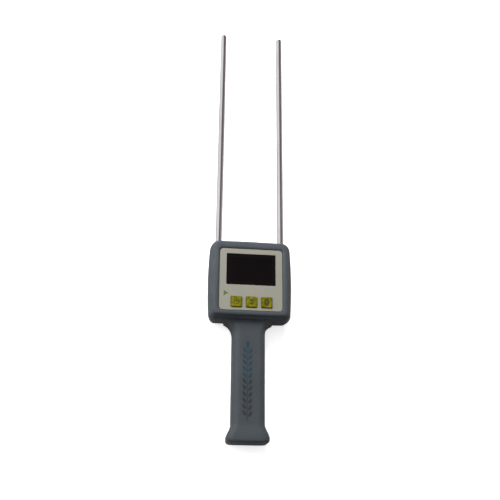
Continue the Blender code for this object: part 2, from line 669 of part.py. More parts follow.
def make_screws():
    for name, place in HEAD_SCREWS.items():
        seat = SCREW_SEAT - GAP
        countersunk_screw(name, place, 2.8 * MM, SHANK_RADIUS, seat - 2.0 * MM, seat, SCREW_END)
    for name, place in END_SCREWS.items():
        seat = END_SEAT - GAP
        countersunk_screw(name, place, 1.9 * MM, END_SHANK, seat - 1.3 * MM, seat, END_SCREW_END)
    for name, place in BOARD_SCREWS.items():
        seat = BOARD_Z[0] - GAP
        countersunk_screw(name, place, 1.9 * MM, 0.95 * MM, seat - 1.3 * MM, seat, 26.0 * MM)


# ---- Probe rods ----


def make_probe(side, word):
    """One rod, its insulating bush, the screw and ring terminal at its inner end, and its lead."""
    x = side * ROD_X

    def along(*profile):
        return lathe_shape(profile, (x, 0, PARTING_Z), (0, 1, 0), 24)

    rod = along(
        (ROD_BORE, SHOULDER_Y),
        (ROD_RADIUS, SHOULDER_Y),
        (ROD_RADIUS, TIP_Y - 0.5 * MM),
        (ROD_RADIUS - 0.5 * MM, TIP_Y),
        (0, TIP_Y),
        (0, TIP_Y - 3.0 * MM),
        (ROD_BORE, TIP_Y - 4.0 * MM),
    )
    build(f"probe_rod_{word}", [rod], "stainless_steel")

    bore, inner = ROD_RADIUS + FIT, ROD_BORE
    step = SHOULDER_Y - FIT
    foot = step - 3.0 * MM
    bush = along(
        (inner, foot),
        (BUSH_RADIUS, foot),
        (BUSH_RADIUS, FLANGE_Y[0]),
        (BUSH_FLANGE, FLANGE_Y[0]),
        (BUSH_FLANGE, FLANGE_Y[1]),
        (BUSH_RADIUS, FLANGE_Y[1]),
        (BUSH_RADIUS, BUSH_TOP_Y),
        (bore, BUSH_TOP_Y),
        (bore, step),
        (inner, step),
    )
    build(f"rod_bush_{word}", [bush], "bush_nylon")

    ring_y = foot - GAP
    ring = tube_shape((x, ring_y - 0.8 * MM, PARTING_Z), (x, ring_y, PARTING_Z), inner, 3.6 * MM)
    terminal = build(f"ring_terminal_{word}", [ring], "tinned_copper")
    tail_low = (x - 1.1 * MM, ring_y - 0.7 * MM, 9.5 * MM)
    tail = box_shape(tail_low, (x + 1.1 * MM, ring_y - 0.1 * MM, 14.6 * MM))
    barrel_y = ring_y - 0.6 * MM
    barrel = rod_shape((x, barrel_y, 6.4 * MM), (x, barrel_y, 10.4 * MM), 1.2 * MM, 16)
    combine(terminal, "UNION", helper(f"terminal_tail_{word}", tail))
    combine(terminal, "UNION", helper(f"terminal_barrel_{word}", barrel))

    head_y = ring_y - 0.8 * MM - GAP
    screw = along(
        (0, head_y - 1.2 * MM),
        (0.9 * MM, head_y - 2.2 * MM),
        (2.9 * MM, head_y - 2.2 * MM),
        (3.1 * MM, head_y - 2.0 * MM),
        (3.1 * MM, head_y),
        (inner - FIT, head_y),
        (inner - FIT, SHOULDER_Y + 9.0 * MM),
        (0, SHOULDER_Y + 9.6 * MM),
    )
    build(f"rod_screw_{word}", [screw], "zinc_steel")

    connector_y = HEAD_Y + 17 * MM
    route = [
        (x, barrel_y, 6.1 * MM),
        (x - side * 0.6 * MM, barrel_y - 1.2 * MM, 4.6 * MM),
        (x - side * 6 * MM, barrel_y - 7 * MM, 4.2 * MM),
        (side * 12 * MM, connector_y - 9 * MM, 6 * MM),
        (side * 4 * MM, connector_y - 10 * MM, 12 * MM),
        (side * 1.6 * MM, connector_y - 5.5 * MM, 17 * MM),
        (side * 1.6 * MM, connector_y - 2.5 * MM - GAP, 17.6 * MM),
    ]
    lead(f"probe_lead_{word}", route, 0.65 * MM, "lead_black")


# ---- Battery ----


def contact_plate(name, spans, inward, features):
    """A thin plate across the end of the bay, with a sprung bump or a flat button for each cell end."""
    y = BAY_END[0] - 0.3 * MM - CONTACT_THICK if inward < 0 else END_Y + 2.2 * MM
    low = (spans[0], y, CELL_Z - 4.2 * MM)
    plate = build(name, [box_shape(low, (spans[1], y + CONTACT_THICK, CELL_Z + 4.2 * MM))], "tinned_copper")
    base = y + CONTACT_THICK / 2
    for x, (foot, tip, height) in features.items():
        profile = [(0, 0), (foot, 0), (foot, 0.5 * MM), (tip, height), (0, height)]
        bump = lathe_shape(profile, (x, base, CELL_Z), (0, inward, 0), 12)
        combine(plate, "UNION", helper(f"{name}_bump_{x:.4f}", bump))


def make_batteries():
    """Four cells in series: the left column points towards the head, and the right one away from it."""
    names = {-1: ("cell_left_low", "cell_left_high"), 1: ("cell_right_low", "cell_right_high")}
    total = CELL_LENGTH + NUB_LENGTH
    for side, pair in names.items():
        for name, low in zip(pair, CELLS_Y):
            start, way = (low, 1) if side < 0 else (low + total, -1)
            profile = [(0, 0.2 * MM), (3.4 * MM, 0.2 * MM), (3.6 * MM, 0), (CELL_RADIUS - 0.4 * MM, 0)]
            profile += [(CELL_RADIUS, 0.4 * MM), (CELL_RADIUS, CELL_LENGTH - 0.6 * MM)]
            profile += [(CELL_RADIUS - 0.6 * MM, CELL_LENGTH), (NUB_RADIUS, CELL_LENGTH)]
            profile += [(NUB_RADIUS, total), (0, total)]
            cell = lathe_shape(profile, (side * CELL_X, start, CELL_Z), (0, way, 0), 20)
            build(name, [cell], "battery_case")

    upper = CELLS_Y[1] + total
    room = BAY_END[0] - 0.3 * MM - CONTACT_THICK / 2 - upper - GAP
    spring, button = (3.2 * MM, 2.0 * MM, 2.4 * MM), (2.6 * MM, 2.0 * MM, min(1.0 * MM, room))
    contact_plate("contact_bridge", (-11.5 * MM, 11.5 * MM), 1, {-CELL_X: spring, CELL_X: spring})
    contact_plate("contact_positive", (-11 * MM, -2.5 * MM), -1, {-CELL_X: button})
    contact_plate("contact_negative", (2.5 * MM, 11 * MM), -1, {CELL_X: button})

    connector_y = HEAD_Y - 23.5 * MM - GAP
    start_y = BAY_END[0] - 0.3 * MM + GAP
    for side, colour in ((-1, "red"), (1, "black")):
        route = [
            (side * CELL_X, start_y, 11.9 * MM),
            (side * CELL_X, start_y + 3 * MM, 11.9 * MM),
            (side * (CELL_X - MM), start_y + 6.5 * MM, 12.5 * MM),
            (side * 2.6 * MM, start_y + 10.5 * MM, 16.6 * MM),
            (side * 1.6 * MM, connector_y - 2.5 * MM, 17.6 * MM),
            (side * 1.6 * MM, connector_y, 17.6 * MM),
        ]
        lead(f"battery_lead_{colour}", route, 0.65 * MM, f"lead_{colour}")


def main():
    for obj in list(bpy.data.objects):
        bpy.data.objects.remove(obj)
    housing = housing_helpers()
    make_front_shell(housing)
    make_rear_shell(housing)
    make_battery_cover(housing)
    make_panel()
    make_keys()
    make_indicator()
    make_board()
    make_screws()
    make_probe(-1, "left")
    make_probe(1, "right")
    make_batteries()


main()
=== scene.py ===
"""Handheld grain moisture meter on a pale floor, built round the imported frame."""

import math

import bmesh
import bpy
from mathutils import Matrix, Vector


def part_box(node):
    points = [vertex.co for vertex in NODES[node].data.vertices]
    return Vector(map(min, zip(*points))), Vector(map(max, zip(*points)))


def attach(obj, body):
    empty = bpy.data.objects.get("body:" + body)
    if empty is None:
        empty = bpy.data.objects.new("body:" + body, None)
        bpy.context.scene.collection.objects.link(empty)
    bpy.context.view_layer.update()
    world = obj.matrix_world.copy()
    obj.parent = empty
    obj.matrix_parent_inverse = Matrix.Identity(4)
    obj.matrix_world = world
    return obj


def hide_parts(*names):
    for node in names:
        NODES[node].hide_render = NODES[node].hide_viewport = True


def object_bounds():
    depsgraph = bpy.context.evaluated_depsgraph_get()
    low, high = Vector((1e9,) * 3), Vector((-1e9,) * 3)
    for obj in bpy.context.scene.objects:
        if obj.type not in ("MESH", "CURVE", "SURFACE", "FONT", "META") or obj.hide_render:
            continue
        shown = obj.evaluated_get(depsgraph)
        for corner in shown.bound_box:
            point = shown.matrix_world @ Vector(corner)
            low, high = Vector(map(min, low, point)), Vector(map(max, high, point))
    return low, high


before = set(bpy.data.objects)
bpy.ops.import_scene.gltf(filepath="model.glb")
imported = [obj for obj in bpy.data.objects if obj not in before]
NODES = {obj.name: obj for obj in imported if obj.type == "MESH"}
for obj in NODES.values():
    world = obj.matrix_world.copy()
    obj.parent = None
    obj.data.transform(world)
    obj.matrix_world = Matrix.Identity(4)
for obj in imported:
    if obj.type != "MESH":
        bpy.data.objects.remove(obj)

MM = 0.001
GAP = 0.3 * MM
FIT = 0.15 * MM


def mm(*values):
    return tuple(value * MM for value in values)


def plain(corners):
    return [[float(v) for v in corner] for corner in corners]


CAD_BOX = plain(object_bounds())

# Places, taken from the frame.
END_Y = CAD_BOX[0][1]
PANEL_LOW, PANEL_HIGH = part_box("front_panel")
HEAD_Y = (PANEL_LOW[1] + PANEL_HIGH[1]) / 2
OUTLINE_Y = HEAD_Y + 1.2 * MM
PANEL_X, PANEL_Y = (PANEL_HIGH[0] - PANEL_LOW[0]) / 2, (PANEL_HIGH[1] - PANEL_LOW[1]) / 2
PANEL_TOP = PANEL_HIGH[2]
PARTING_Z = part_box("rear_shell")[1][2] + GAP / 2
COVER_TOP_Y = END_Y + 93.0 * MM
COVER_SPLIT_Z = 6.0 * MM


# ---- Shader nodes ----


def add_node(tree, kind, inputs=None, **settings):
    """A node with its settings, and its inputs either linked or set."""
    node = tree.nodes.new(kind)
    for name, value in settings.items():
        setattr(node, name, value)
    for key, value in (inputs or {}).items():
        if isinstance(value, bpy.types.NodeSocket):
            tree.links.new(value, node.inputs[key])
        else:
            node.inputs[key].default_value = value
    return node


def between(tree, value, low, high, to_low=0.0, to_high=1.0):
    values = {"Value": value, "From Min": low, "From Max": high, "To Min": to_low, "To Max": to_high}
    return add_node(tree, "ShaderNodeMapRange", values).outputs[0]


def blended(tree, factor, low, high):
    mix = add_node(tree, "ShaderNodeMix", {0: factor}, data_type="RGBA")
    for socket, colour in ((6, low), (7, high)):
        if isinstance(colour, bpy.types.NodeSocket):
            tree.links.new(colour, mix.inputs[socket])
        else:
            mix.inputs[socket].default_value = (*colour, 1)
    return mix.outputs[2]


def calculated(tree, operation, first, second=0.0):
    return add_node(tree, "ShaderNodeMath", {0: first, 1: second}, operation=operation).outputs[0]


# ---- Camera, floor and lights ----

TARGET = Vector((-1.19 * MM, END_Y + 165.54 * MM, PANEL_TOP))
VIEW_AZIMUTH, VIEW_ELEVATION, VIEW_ROLL = -16.371, 67.727, 0.482
VIEW_DISTANCE = 623.4 * MM
VIEW_LENS = 50.4

FLOOR_WHITE, FLOOR_GLOW = 0.95, 0.7
FLOOR_THROWN = 0.10
FLOOR_MIRRORED = (0.55, 0.55, 0.56)
GLOW_STRENGTH = 1.2
BACKDROP = (0.78, 0.78, 0.78)
NEAR_GLOW = ((0.13, 0.12, 0.12), (0.74, 0.74, 0.75))  # from the horizon to high up
GLOW = [  # from -X, through the zenith, to +X
    (0.0, (0.93, 0.96, 1.0)),
    (0.40, (0.82, 0.83, 0.86)),
    (0.495, (0.23, 0.19, 0.185)),
    (0.54, (0.15, 0.118, 0.118)),
    (0.84, (0.165, 0.13, 0.13)),
    (0.93, (0.42, 0.40, 0.40)),
    (1.0, (0.55, 0.54, 0.54)),
]
HEAD_PLACE = (0, -0.08, 0)
LIGHTS = {  # place, what it points at, size, watts
    "top": ((-0.10, 0.42, 0.55), HEAD_PLACE, (0.5, 0.35), 4.8),
    "high": ((-0.2, 0.4, 1.6), (0, 0, 0), (1.2, 1.2), 5.0),
    "left": ((-0.8, 0.12, 0.35), HEAD_PLACE, (0.4, 0.7), 2.6),
    "right": ((0.8, 0.25, 0.25), HEAD_PLACE, (0.4, 0.5), 0.9),
}


def add_camera():
    a, e, roll = map(math.radians, (VIEW_AZIMUTH, VIEW_ELEVATION, VIEW_ROLL))
    back = Vector((math.sin(a) * math.cos(e), -math.cos(a) * math.cos(e), math.sin(e)))
    level = Vector((0, 1, 0)).cross(back).normalized()
    upward = back.cross(level)
    right = math.cos(roll) * level + math.sin(roll) * upward
    up = math.cos(roll) * upward - math.sin(roll) * level
    data = bpy.data.cameras.new("view")
    data.sensor_width = 36.0
    data.lens = VIEW_LENS
    data.clip_start, data.clip_end = 0.01, 20.0
    camera = bpy.data.objects.new("view", data)
    turn = Matrix((right, up, back)).transposed()
    camera.matrix_world = Matrix.Translation(TARGET + VIEW_DISTANCE * back) @ turn.to_4x4()
    bpy.context.scene.collection.objects.link(camera)
    bpy.context.scene.camera = camera


def add_light(name, place, aim, size, power):
    """A soft light that mirrors don't show: what they show is the world's own glow."""
    data = bpy.data.lights.new(name, "AREA")
    data.shape = "RECTANGLE"
    data.size, data.size_y = size
    data.energy = power
    light = bpy.data.objects.new(name, data)
    light.location = place
    light.rotation_euler = (Vector(place) - Vector(aim)).to_track_quat("Z", "Y").to_euler()
    light.visible_glossy = False
    bpy.context.scene.collection.objects.link(light)


def add_floor():
    """A white floor, which throws little light back onto what lies on it."""
    mesh = bpy.data.meshes.new("floor")
    mesh.from_pydata([(-6, -6, 0), (6, -6, 0), (6, 6, 0), (-6, 6, 0)], [], [(0, 1, 2, 3)])
    floor = bpy.data.objects.new("floor", mesh)
    bpy.context.scene.collection.objects.link(floor)
    floor.location.z = -0.2 * MM
    paint = bpy.data.materials.new("floor_white")
    paint.use_nodes = True
    tree = paint.node_tree
    tree.nodes.clear()

    def matt(red, green, blue):
        return add_node(tree, "ShaderNodeBsdfDiffuse", {"Color": (red, green, blue, 1)}).outputs[0]

    def either(factor, low, high):
        return add_node(tree, "ShaderNodeMixShader", {0: factor, 1: low, 2: high}).outputs[0]

    glow = add_node(tree, "ShaderNodeEmission", {"Strength": FLOOR_GLOW}).outputs[0]
    seen = add_node(tree, "ShaderNodeAddShader", {0: matt(*[FLOOR_WHITE] * 3), 1: glow}).outputs[0]
    path = add_node(tree, "ShaderNodeLightPath").outputs
    unseen = either(path["Is Diffuse Ray"], matt(*FLOOR_MIRRORED), matt(*[FLOOR_THROWN] * 3))
    surface = either(path["Is Camera Ray"], unseen, seen)
    add_node(tree, "ShaderNodeOutputMaterial", {"Surface": surface})
    mesh.materials.append(paint)


def add_world():
    """What mirrors show: a bright left side and a dark brown ceiling, and for what faces -Y a glow that
    brightens upwards. As light, the -Y side is dim. To the camera the backdrop is plain and pale."""
    world = bpy.data.worlds.new("studio")
    world.use_nodes = True
    tree = world.node_tree
    background = tree.nodes["Background"]
    direction = add_node(tree, "ShaderNodeTexCoord").outputs["Generated"]
    x, y, z = add_node(tree, "ShaderNodeSeparateXYZ", {0: direction}).outputs
    ramp = add_node(tree, "ShaderNodeValToRGB", {0: between(tree, x, -1.0, 1.0)})
    stops = ramp.color_ramp.elements
    stops.remove(stops[1])
    stops[0].color = (*GLOW[0][1], 1)
    for place, colour in GLOW[1:]:
        stops.new(place).color = (*colour, 1)
    near_side = blended(tree, between(tree, z, 0.0, 0.85), *NEAR_GLOW)
    mirrored = blended(tree, between(tree, y, 0.15, -0.4), ramp.outputs[0], near_side)
    path = add_node(tree, "ShaderNodeLightPath").outputs
    tree.links.new(blended(tree, path["Is Camera Ray"], mirrored, BACKDROP), background.inputs["Color"])
    near = between(tree, y, -0.5, 0.25, 0.05, 1.0)
    dimmed = calculated(tree, "MAXIMUM", near, calculated(tree, "SUBTRACT", 1.0, path["Is Diffuse Ray"]))
    tree.links.new(calculated(tree, "MULTIPLY", dimmed, GLOW_STRENGTH), background.inputs["Strength"])
    bpy.context.scene.world = world


def add_stage():
    add_floor()
    add_world()
    for name, values in LIGHTS.items():
        add_light(name, *values)
    bpy.context.scene.view_settings.view_transform = "Standard"


# ---- Shapes: each is (points, faces) of one closed surface ----


def loft_shape(rings):
    """A skin over rings of equally many points, with a flat face at each end."""
    count = len(rings[0])
    points = [point for ring in rings for point in ring]
    faces = [list(range(count))[::-1], list(range(len(points) - count, len(points)))]
    for k in range(len(rings) - 1):
        low, high = k * count, (k + 1) * count
        for i in range(count):
            j = (i + 1) % count
            faces.append([low + i, low + j, high + j, high + i])
    return points, faces


def prism_shape(outline, low, high):
    return loft_shape([[(x, y, z) for x, y in outline] for z in (low, high)])


def box_shape(low, high):
    corners = [(low[0], low[1]), (high[0], low[1]), (high[0], high[1]), (low[0], high[1])]
    return prism_shape(corners, low[2], high[2])


def lathe_shape(profile, origin, axis, steps=32):
    """(radius, distance along the axis) pairs turned about the axis. A profile that doesn't start on the
    axis is a closed loop."""
    turn = Vector((0, 0, 1)).rotation_difference(Vector(axis)).to_matrix()
    points, rings = [], []
    for radius, along in profile:
        count = steps if radius > 0 else 1
        rings.append(range(len(points), len(points) + count))
        for i in range(count):
            angle = 2 * math.pi * (i + 0.5) / steps
            local = Vector((radius * math.cos(angle), radius * math.sin(angle), along))
            points.append(Vector(origin) + turn @ local)
    pairs = list(zip(rings, rings[1:]))
    if profile[0][0] > 0:
        pairs.append((rings[-1], rings[0]))
    faces = []
    for low, high in pairs:
        for i in range(steps):
            j = (i + 1) % steps
            corners = [low[i % len(low)], low[j % len(low)], high[j % len(high)], high[i % len(high)]]
            faces.append(list(dict.fromkeys(corners)))
    return points, [face for face in faces if len(face) > 2]


def rod_shape(start, end, radius, steps=24):
    axis = Vector(end) - Vector(start)
    return lathe_shape([(0, 0), (radius, 0), (radius, axis.length), (0, axis.length)], start, axis, steps)


def rounded_rectangle(half_x, half_y, radius, centre=(0, 0), corner_steps=8, side_steps=1):
    """Its points, counter-clockwise. radius may be four radii, from the corner at +X, +Y onwards."""
    radii = radius if isinstance(radius, tuple) else [radius] * 4
    arcs = []
    for (sign_x, sign_y), r, start in zip(((1, 1), (-1, 1), (-1, -1), (1, -1)), radii, (0, 90, 180, 270)):
        arc = []
        for i in range(corner_steps + 1):
            angle = math.radians(start + 90 * i / corner_steps)
            x = sign_x * (half_x - r) + r * math.cos(angle)
            y = sign_y * (half_y - r) + r * math.sin(angle)
            arc.append(Vector((x, y)))
        arcs.append(arc)
    outline = []
    for arc, following in zip(arcs, arcs[1:] + arcs[:1]):
        outline += arc
        outline += [arc[-1].lerp(following[0], i / side_steps) for i in range(1, side_steps)]
    return [(x + centre[0], y + centre[1]) for x, y in outline]


def rounded_block(centre, half, radius, low, high, corner_steps=6):
    """A rounded rectangle, given by (half width, half length), between two heights."""
    return prism_shape(rounded_rectangle(*half, radius, centre, corner_steps), low, high)


def steps_between(start, end, count):
    return [start + (end - start) * i / count for i in range(count + 1)]


def quarter(radius, steps, start=0):
    """(inward, down) from the corner that a rounded edge replaces, from its side round to its top."""
    turns = [math.radians(angle) for angle in steps_between(start, 90, steps)]
    return [(radius * (1 - math.cos(turn)), radius * (1 - math.sin(turn))) for turn in turns]


def smooth(t):
    t = min(max(t, 0.0), 1.0)
    return t * t * (3 - 2 * t)


def arc_rise(distance, radius):
    return radius - math.sqrt(max(radius**2 - distance**2, 0.0))


# ---- Pieces ----


def mesh_object(name, *shapes):
    points, faces = [], []
    for shape_points, shape_faces in shapes:
        faces += [[len(points) + i for i in face] for face in shape_faces]
        points += [Vector(p) for p in shape_points]
    mesh = bpy.data.meshes.new(name)
    mesh.from_pydata(points, [], faces)
    work = bmesh.new()
    work.from_mesh(mesh)
    bmesh.ops.recalc_face_normals(work, faces=work.faces)
    work.to_mesh(mesh)
    work.free()
    obj = bpy.data.objects.new(name, mesh)
    bpy.context.scene.collection.objects.link(obj)
    return obj


def combine(target, operation, other):
    modifier = target.modifiers.new(operation, "BOOLEAN")
    modifier.operation = operation
    modifier.solver = "EXACT"
    modifier.object = other


def shade(mesh, angle):
    """Smooth shading except at edges. A corner's normal is the average, by area, of the faces round its
    point that lean less than the angle from its own face, so a large flat face looks flat."""
    mesh.shade_smooth()
    mesh.set_sharp_from_angle(angle=math.radians(angle))
    around = [[] for _ in mesh.vertices]
    faces = [(face.normal.copy(), face.area, tuple(face.vertices)) for face in mesh.polygons]
    for face in faces:
        for vertex in face[2]:
            around[vertex].append(face)
    limit = math.cos(math.radians(angle))
    normals = []
    for normal, _, vertices in faces:
        for vertex in vertices:
            total = Vector()
            for other, area, _ in around[vertex]:
                if other.dot(normal) > limit:
                    total += area * other
            normals.append(total.normalized())
    mesh.normals_split_custom_set(normals)


def applied(obj, angle=32):
    """The object with its modifiers made part of its mesh, and shaded."""
    bpy.context.view_layer.update()
    graph = bpy.context.evaluated_depsgraph_get()
    mesh = bpy.data.meshes.new_from_object(obj.evaluated_get(graph), depsgraph=graph)
    obj.modifiers.clear()
    obj.data = mesh
    mesh.name = obj.name
    shade(mesh, angle)
    return obj


def bevelled(obj, width, segments=2):
    modifier = obj.modifiers.new("edges", "BEVEL")
    modifier.width = width
    modifier.segments = segments
    modifier.limit_method = "ANGLE"
    modifier.angle_limit = math.radians(35)
    return applied(obj)


def carved(obj, *cutters):
    """The object less the cutters, which are used up."""
    for cutter in cutters:
        combine(obj, "DIFFERENCE", cutter)
    applied(obj)
    discard(*cutters)
    return obj


def discard(*objects):
    for obj in objects:
        mesh = obj.data
        bpy.data.objects.remove(obj)
        if mesh.users == 0:
            bpy.data.meshes.remove(mesh)


def place_piece(obj, body, slot, finish, *replaced):
    obj.data.materials.clear()
    obj.data.materials.append(finish)
    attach(obj, body)
    if replaced:
        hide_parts(*replaced)
    return obj


# ---- Housing outlines ----

BEZEL_TOP = 32.0 * MM
BEZEL_RADIUS = 2.8 * MM
BEZEL_RIM = 6.1 * MM
# (height, margin) up the head's sides. The margin is how far they stand out past the panel's edge.
HEAD_PROFILE = [mm(0, 3.8), mm(0.6, 5), mm(2, 5.8), mm(5, 7.1), mm(9, 8), mm(13, 8.5), mm(17, 9.1)]
HEAD_PROFILE += [mm(20, 9.18), mm(23.5, 8.8), mm(26, 8), mm(27.8, 6.9)]
WIDEST = 9.0 * MM
SIDE_BOW, END_BOW, SIDE_EXTRA = mm(1.4, 0.5, 0.3)
CORNER, POCKET_CORNER = mm(2.4, 3.3)
CORNER_EXTRA = mm(5.8, 3.0)
HEAD_WALL = 2.2 * MM
HEAD_FLOOR = 2.0 * MM
HEAD_CEILING = 27.4 * MM
SEAM_DEPTH = 0.28 * MM

HANDLE_HALF = 14.1 * MM
HANDLE_TOP = 23.0 * MM
HANDLE_WALL = 1.45 * MM
HANDLE_SKIN = 1.8 * MM
FLARE_HALF = 18.1 * MM
FLARE_RISE = 1.0 * MM
FLARE_FROM, FLARE_TO = mm(4.0, 15.5)
END_RADIUS = 3.0 * MM
NECK_FROM, NECK_RADIUS, NECK_TO = mm(91.4, 12.5, 102.9)
BROW_FROM, BROW_RADIUS, BROW_TO = mm(99.3, 3.5, 102.3)
HANDLE_INSIDE_HEAD = 113.0 * MM
HANDLE_FRONT_RADIUS, HANDLE_BACK_RADIUS = mm(6.0, 5.0)

SEAM = mm(16.85, 17.15)
COVER_SEAM = mm(6.0, 6.3)
# (height, margin) of the back's rounded edge, of the crease under the bezel, and of its lip and pocket.
BACK_EDGE = [(0.0, 3.8), (0.12, 4.35), (0.35, 4.8)]
CREASE = [(28.1, 6.45), (28.22, 6.0), (28.35, 5.72), (28.55, 5.72), (28.7, 5.9), (28.8, 6.05)]
LIP = [(32.0, 2.4), (31.97, 1.75), (31.86, 1.35), (31.6, 0.95), (31.2, 0.55), (31.0, 0.4), (29.7, 0.3)]


def profile_margin(z):
    """The head's margin at a height, on a smooth curve through the profile's points."""
    points = HEAD_PROFILE
    for k in range(len(points) - 1):
        if z <= points[k + 1][0]:
            break
    before = points[max(k - 1, 0)]
    start, end = points[k], points[k + 1]
    after = points[min(k + 2, len(points) - 1)]
    span = end[0] - start[0]
    t = (z - start[0]) / span
    slope_in = (end[1] - before[1]) / (end[0] - before[0]) * span
    slope_out = (after[1] - start[1]) / (after[0] - start[0]) * span
    return (
        (2 * t**3 - 3 * t**2 + 1) * start[1] + (t**3 - 2 * t**2 + t) * slope_in
        + (3 * t**2 - 2 * t**3) * end[1] + (t**3 - t**2) * slope_out
    )


def head_ring(z, margin, inset=0.0, corner_steps=14, side_steps=14):
    bow = max(margin, 0) / WIDEST
    half_x = PANEL_X + margin - inset + (SIDE_EXTRA - SIDE_BOW) * bow
    half_y = PANEL_Y + margin - inset - END_BOW * bow
    widening = (margin / WIDEST) ** 3
    upper, lower = (
        max(CORNER + extra * widening, POCKET_CORNER if inset == 0 else 0, 1.0 * MM + inset) - inset
        for extra in CORNER_EXTRA
    )
    centre = HEAD_Y + (OUTLINE_Y - HEAD_Y) * min(max((margin - 0.3 * MM) / (3.0 * MM), 0), 1)
    ring = []
    radii = (upper, upper, lower, lower)
    for x, y in rounded_rectangle(half_x, half_y, radii, (0, 0), corner_steps, side_steps):
        bowed_x = x + SIDE_BOW * bow * (x / half_x) * (1 - (y / half_y) ** 2)
        bowed_y = y + END_BOW * bow * (y / half_y) * (1 - (x / half_x) ** 2)
        ring.append((bowed_x, centre + bowed_y, z))
    return ring


def head_outside():
    """The head, with the groove at its parting line, the crease under the bezel, and the panel's pocket."""
    rings = [head_ring(z * MM, margin * MM) for z, margin in BACK_EDGE]
    for z in (0.7, 1.2, 2, 3, 4, 5, 7, 9, 11, 13, 15, 16.5):
        rings.append(head_ring(z * MM, profile_margin(z * MM)))
    rings += [head_ring(z, profile_margin(z) - SEAM_DEPTH) for z in SEAM]
    upper = (17.5, 18.5, 19.5, 20.5, 21.5, 22.5, 23.5, 24.5, 25.4, 26.2, 27, 27.5, 27.8)
    rings += [head_ring(z * MM, profile_margin(z * MM)) for z in upper]
    rings += [head_ring(z * MM, margin * MM) for z, margin in CREASE]
    for inward, down in quarter(BEZEL_RADIUS, 9):
        rings.append(head_ring(BEZEL_TOP - down, BEZEL_RIM - inward))
    rings += [head_ring(z * MM, margin * MM) for z, margin in LIP]
    return loft_shape(rings)


def head_inside():
    heights = [HEAD_FLOOR] + [z * MM for z in (5, 9, 13, 17, 21, 25)] + [HEAD_CEILING]
    return loft_shape([head_ring(z, profile_margin(z), HEAD_WALL, 6, 4) for z in heights])


def handle_size(s):
    """(half width, height of the front face) at the distance s from the handle's end."""
    flare = smooth((FLARE_TO - s) / (FLARE_TO - FLARE_FROM))
    half = HANDLE_HALF + (FLARE_HALF - HANDLE_HALF) * flare
    top = HANDLE_TOP + FLARE_RISE * flare
    if s > NECK_FROM:
        half += arc_rise(min(s, NECK_TO) - NECK_FROM, NECK_RADIUS)
    return half, top


def handle_outer_ring(s, inset=0.0, low=0.0):
    """The handle's section at s, with grooves at its two parting lines. low is the back face's height."""
    half, top = handle_size(s)
    if s > BROW_FROM:
        top += arc_rise(min(s, BROW_TO) - BROW_FROM, BROW_RADIUS)
    half, top = half - inset, top - inset
    front, back = HANDLE_FRONT_RADIUS, HANDLE_BACK_RADIUS
    side = []
    for rise, inward in quarter(back, 9):
        side.append((half - inward, low + rise * (1 - low / back)))
    for z in (5.7, 6.0, 6.3, 6.6, 9, 12, 14.5, 16.5, 16.85, 17.15, 17.5):
        level = z * MM
        groove = SEAM_DEPTH if level in (*COVER_SEAM, *SEAM) else 0.0
        bend = max(level - (top - front), 0.0) / front
        side.append((half - front * (1 - math.sqrt(1 - bend**2)) - groove, level))
    start = math.degrees(math.asin((17.9 * MM - (top - front)) / front))
    for inward, down in quarter(front, 10, start):
        side.append((half - inward, top - down))
    across = steps_between(half - front, -(half - front), 8)[1:-1]
    under = steps_between(-(half - back), half - back, 8)[1:-1]
    front, back = [(x, top) for x in across], [(x, low) for x in under]
    section = [*side, *front, *((-x, z) for x, z in side[::-1]), *back]
    return [(x, END_Y + s, z) for x, z in section]


def handle_inner_ring(s, wall):
    half, top = handle_size(s)
    outline = rounded_rectangle(half - wall, (top - 2 * HANDLE_SKIN) / 2, 3.4 * MM, (0, top / 2), 5, 2)
    return [(x, END_Y + s, z) for x, z in outline]


def handle_outside():
    rings = []
    for s, inset in quarter(END_RADIUS, 9):
        rings.append(handle_outer_ring(s, inset, inset * 0.4))
    rings += [handle_outer_ring(s) for s in steps_between(FLARE_FROM - 0.5 * MM, FLARE_TO, 20)]
    rings += [handle_outer_ring(s) for s in steps_between(FLARE_TO, NECK_FROM, 6)[1:-1]]
    rings += [handle_outer_ring(s) for s in steps_between(NECK_FROM, BROW_FROM, 10)]
    rings += [handle_outer_ring(s) for s in steps_between(BROW_FROM, BROW_TO, 10)[1:]]
    rings += [handle_outer_ring(s) for s in steps_between(BROW_TO, NECK_TO, 4)[1:]]
    rings.append(handle_outer_ring(HANDLE_INSIDE_HEAD))
    return loft_shape(rings)


def handle_inside():
    places = [1.7 * MM, *steps_between(FLARE_FROM, FLARE_TO, 8), *steps_between(NECK_FROM, NECK_TO, 6)]
    rings = []
    for s in [*places, HANDLE_INSIDE_HEAD + 6 * MM]:
        wall = HANDLE_WALL + 2.0 * MM * smooth((s - NECK_FROM) / (NECK_TO - NECK_FROM))
        rings.append(handle_inner_ring(s, wall))
    return loft_shape(rings)


# ---- Screws and their posts ----

HEAD_SCREWS = ("screw_top_left", "screw_top_right", "screw_bottom_left", "screw_bottom_right")
END_SCREWS = ("screw_end_left", "screw_end_right")
SCREW_SEAT, SHANK_HOLE = mm(7.5, 1.75)
SCREW_MOUTH, SCREW_WELL = mm(3.55, 3.2)
POST_FOOT, POST_RADIUS, POST_STEP, POST_TOP = mm(4.6, 3.5, 9.2, 28.5)
END_SEAT, END_HOLE = mm(9.5, 1.15)
END_POST, END_POST_Z = 2.35 * MM, mm(20, 24)
CELL_X, CELL_Z = mm(6.9, 8.4)
BAY_CEILING = mm(14.1, 15.4)
BAY_END = (END_Y + 96.1 * MM, END_Y + 97.6 * MM)
BAY_REACH = 25 * MM  # past the inside of the handle on both sides
SLOT_HALF, SLOT_Z = 1.5 * MM, mm(10.6, 13.2)
ROD_X = 28.4 * MM
BUSH_RADIUS, BUSH_FLANGE = mm(4.5, 5.4)
FLANGE_Y = (HEAD_Y + 30.6 * MM, HEAD_Y + 33.0 * MM)


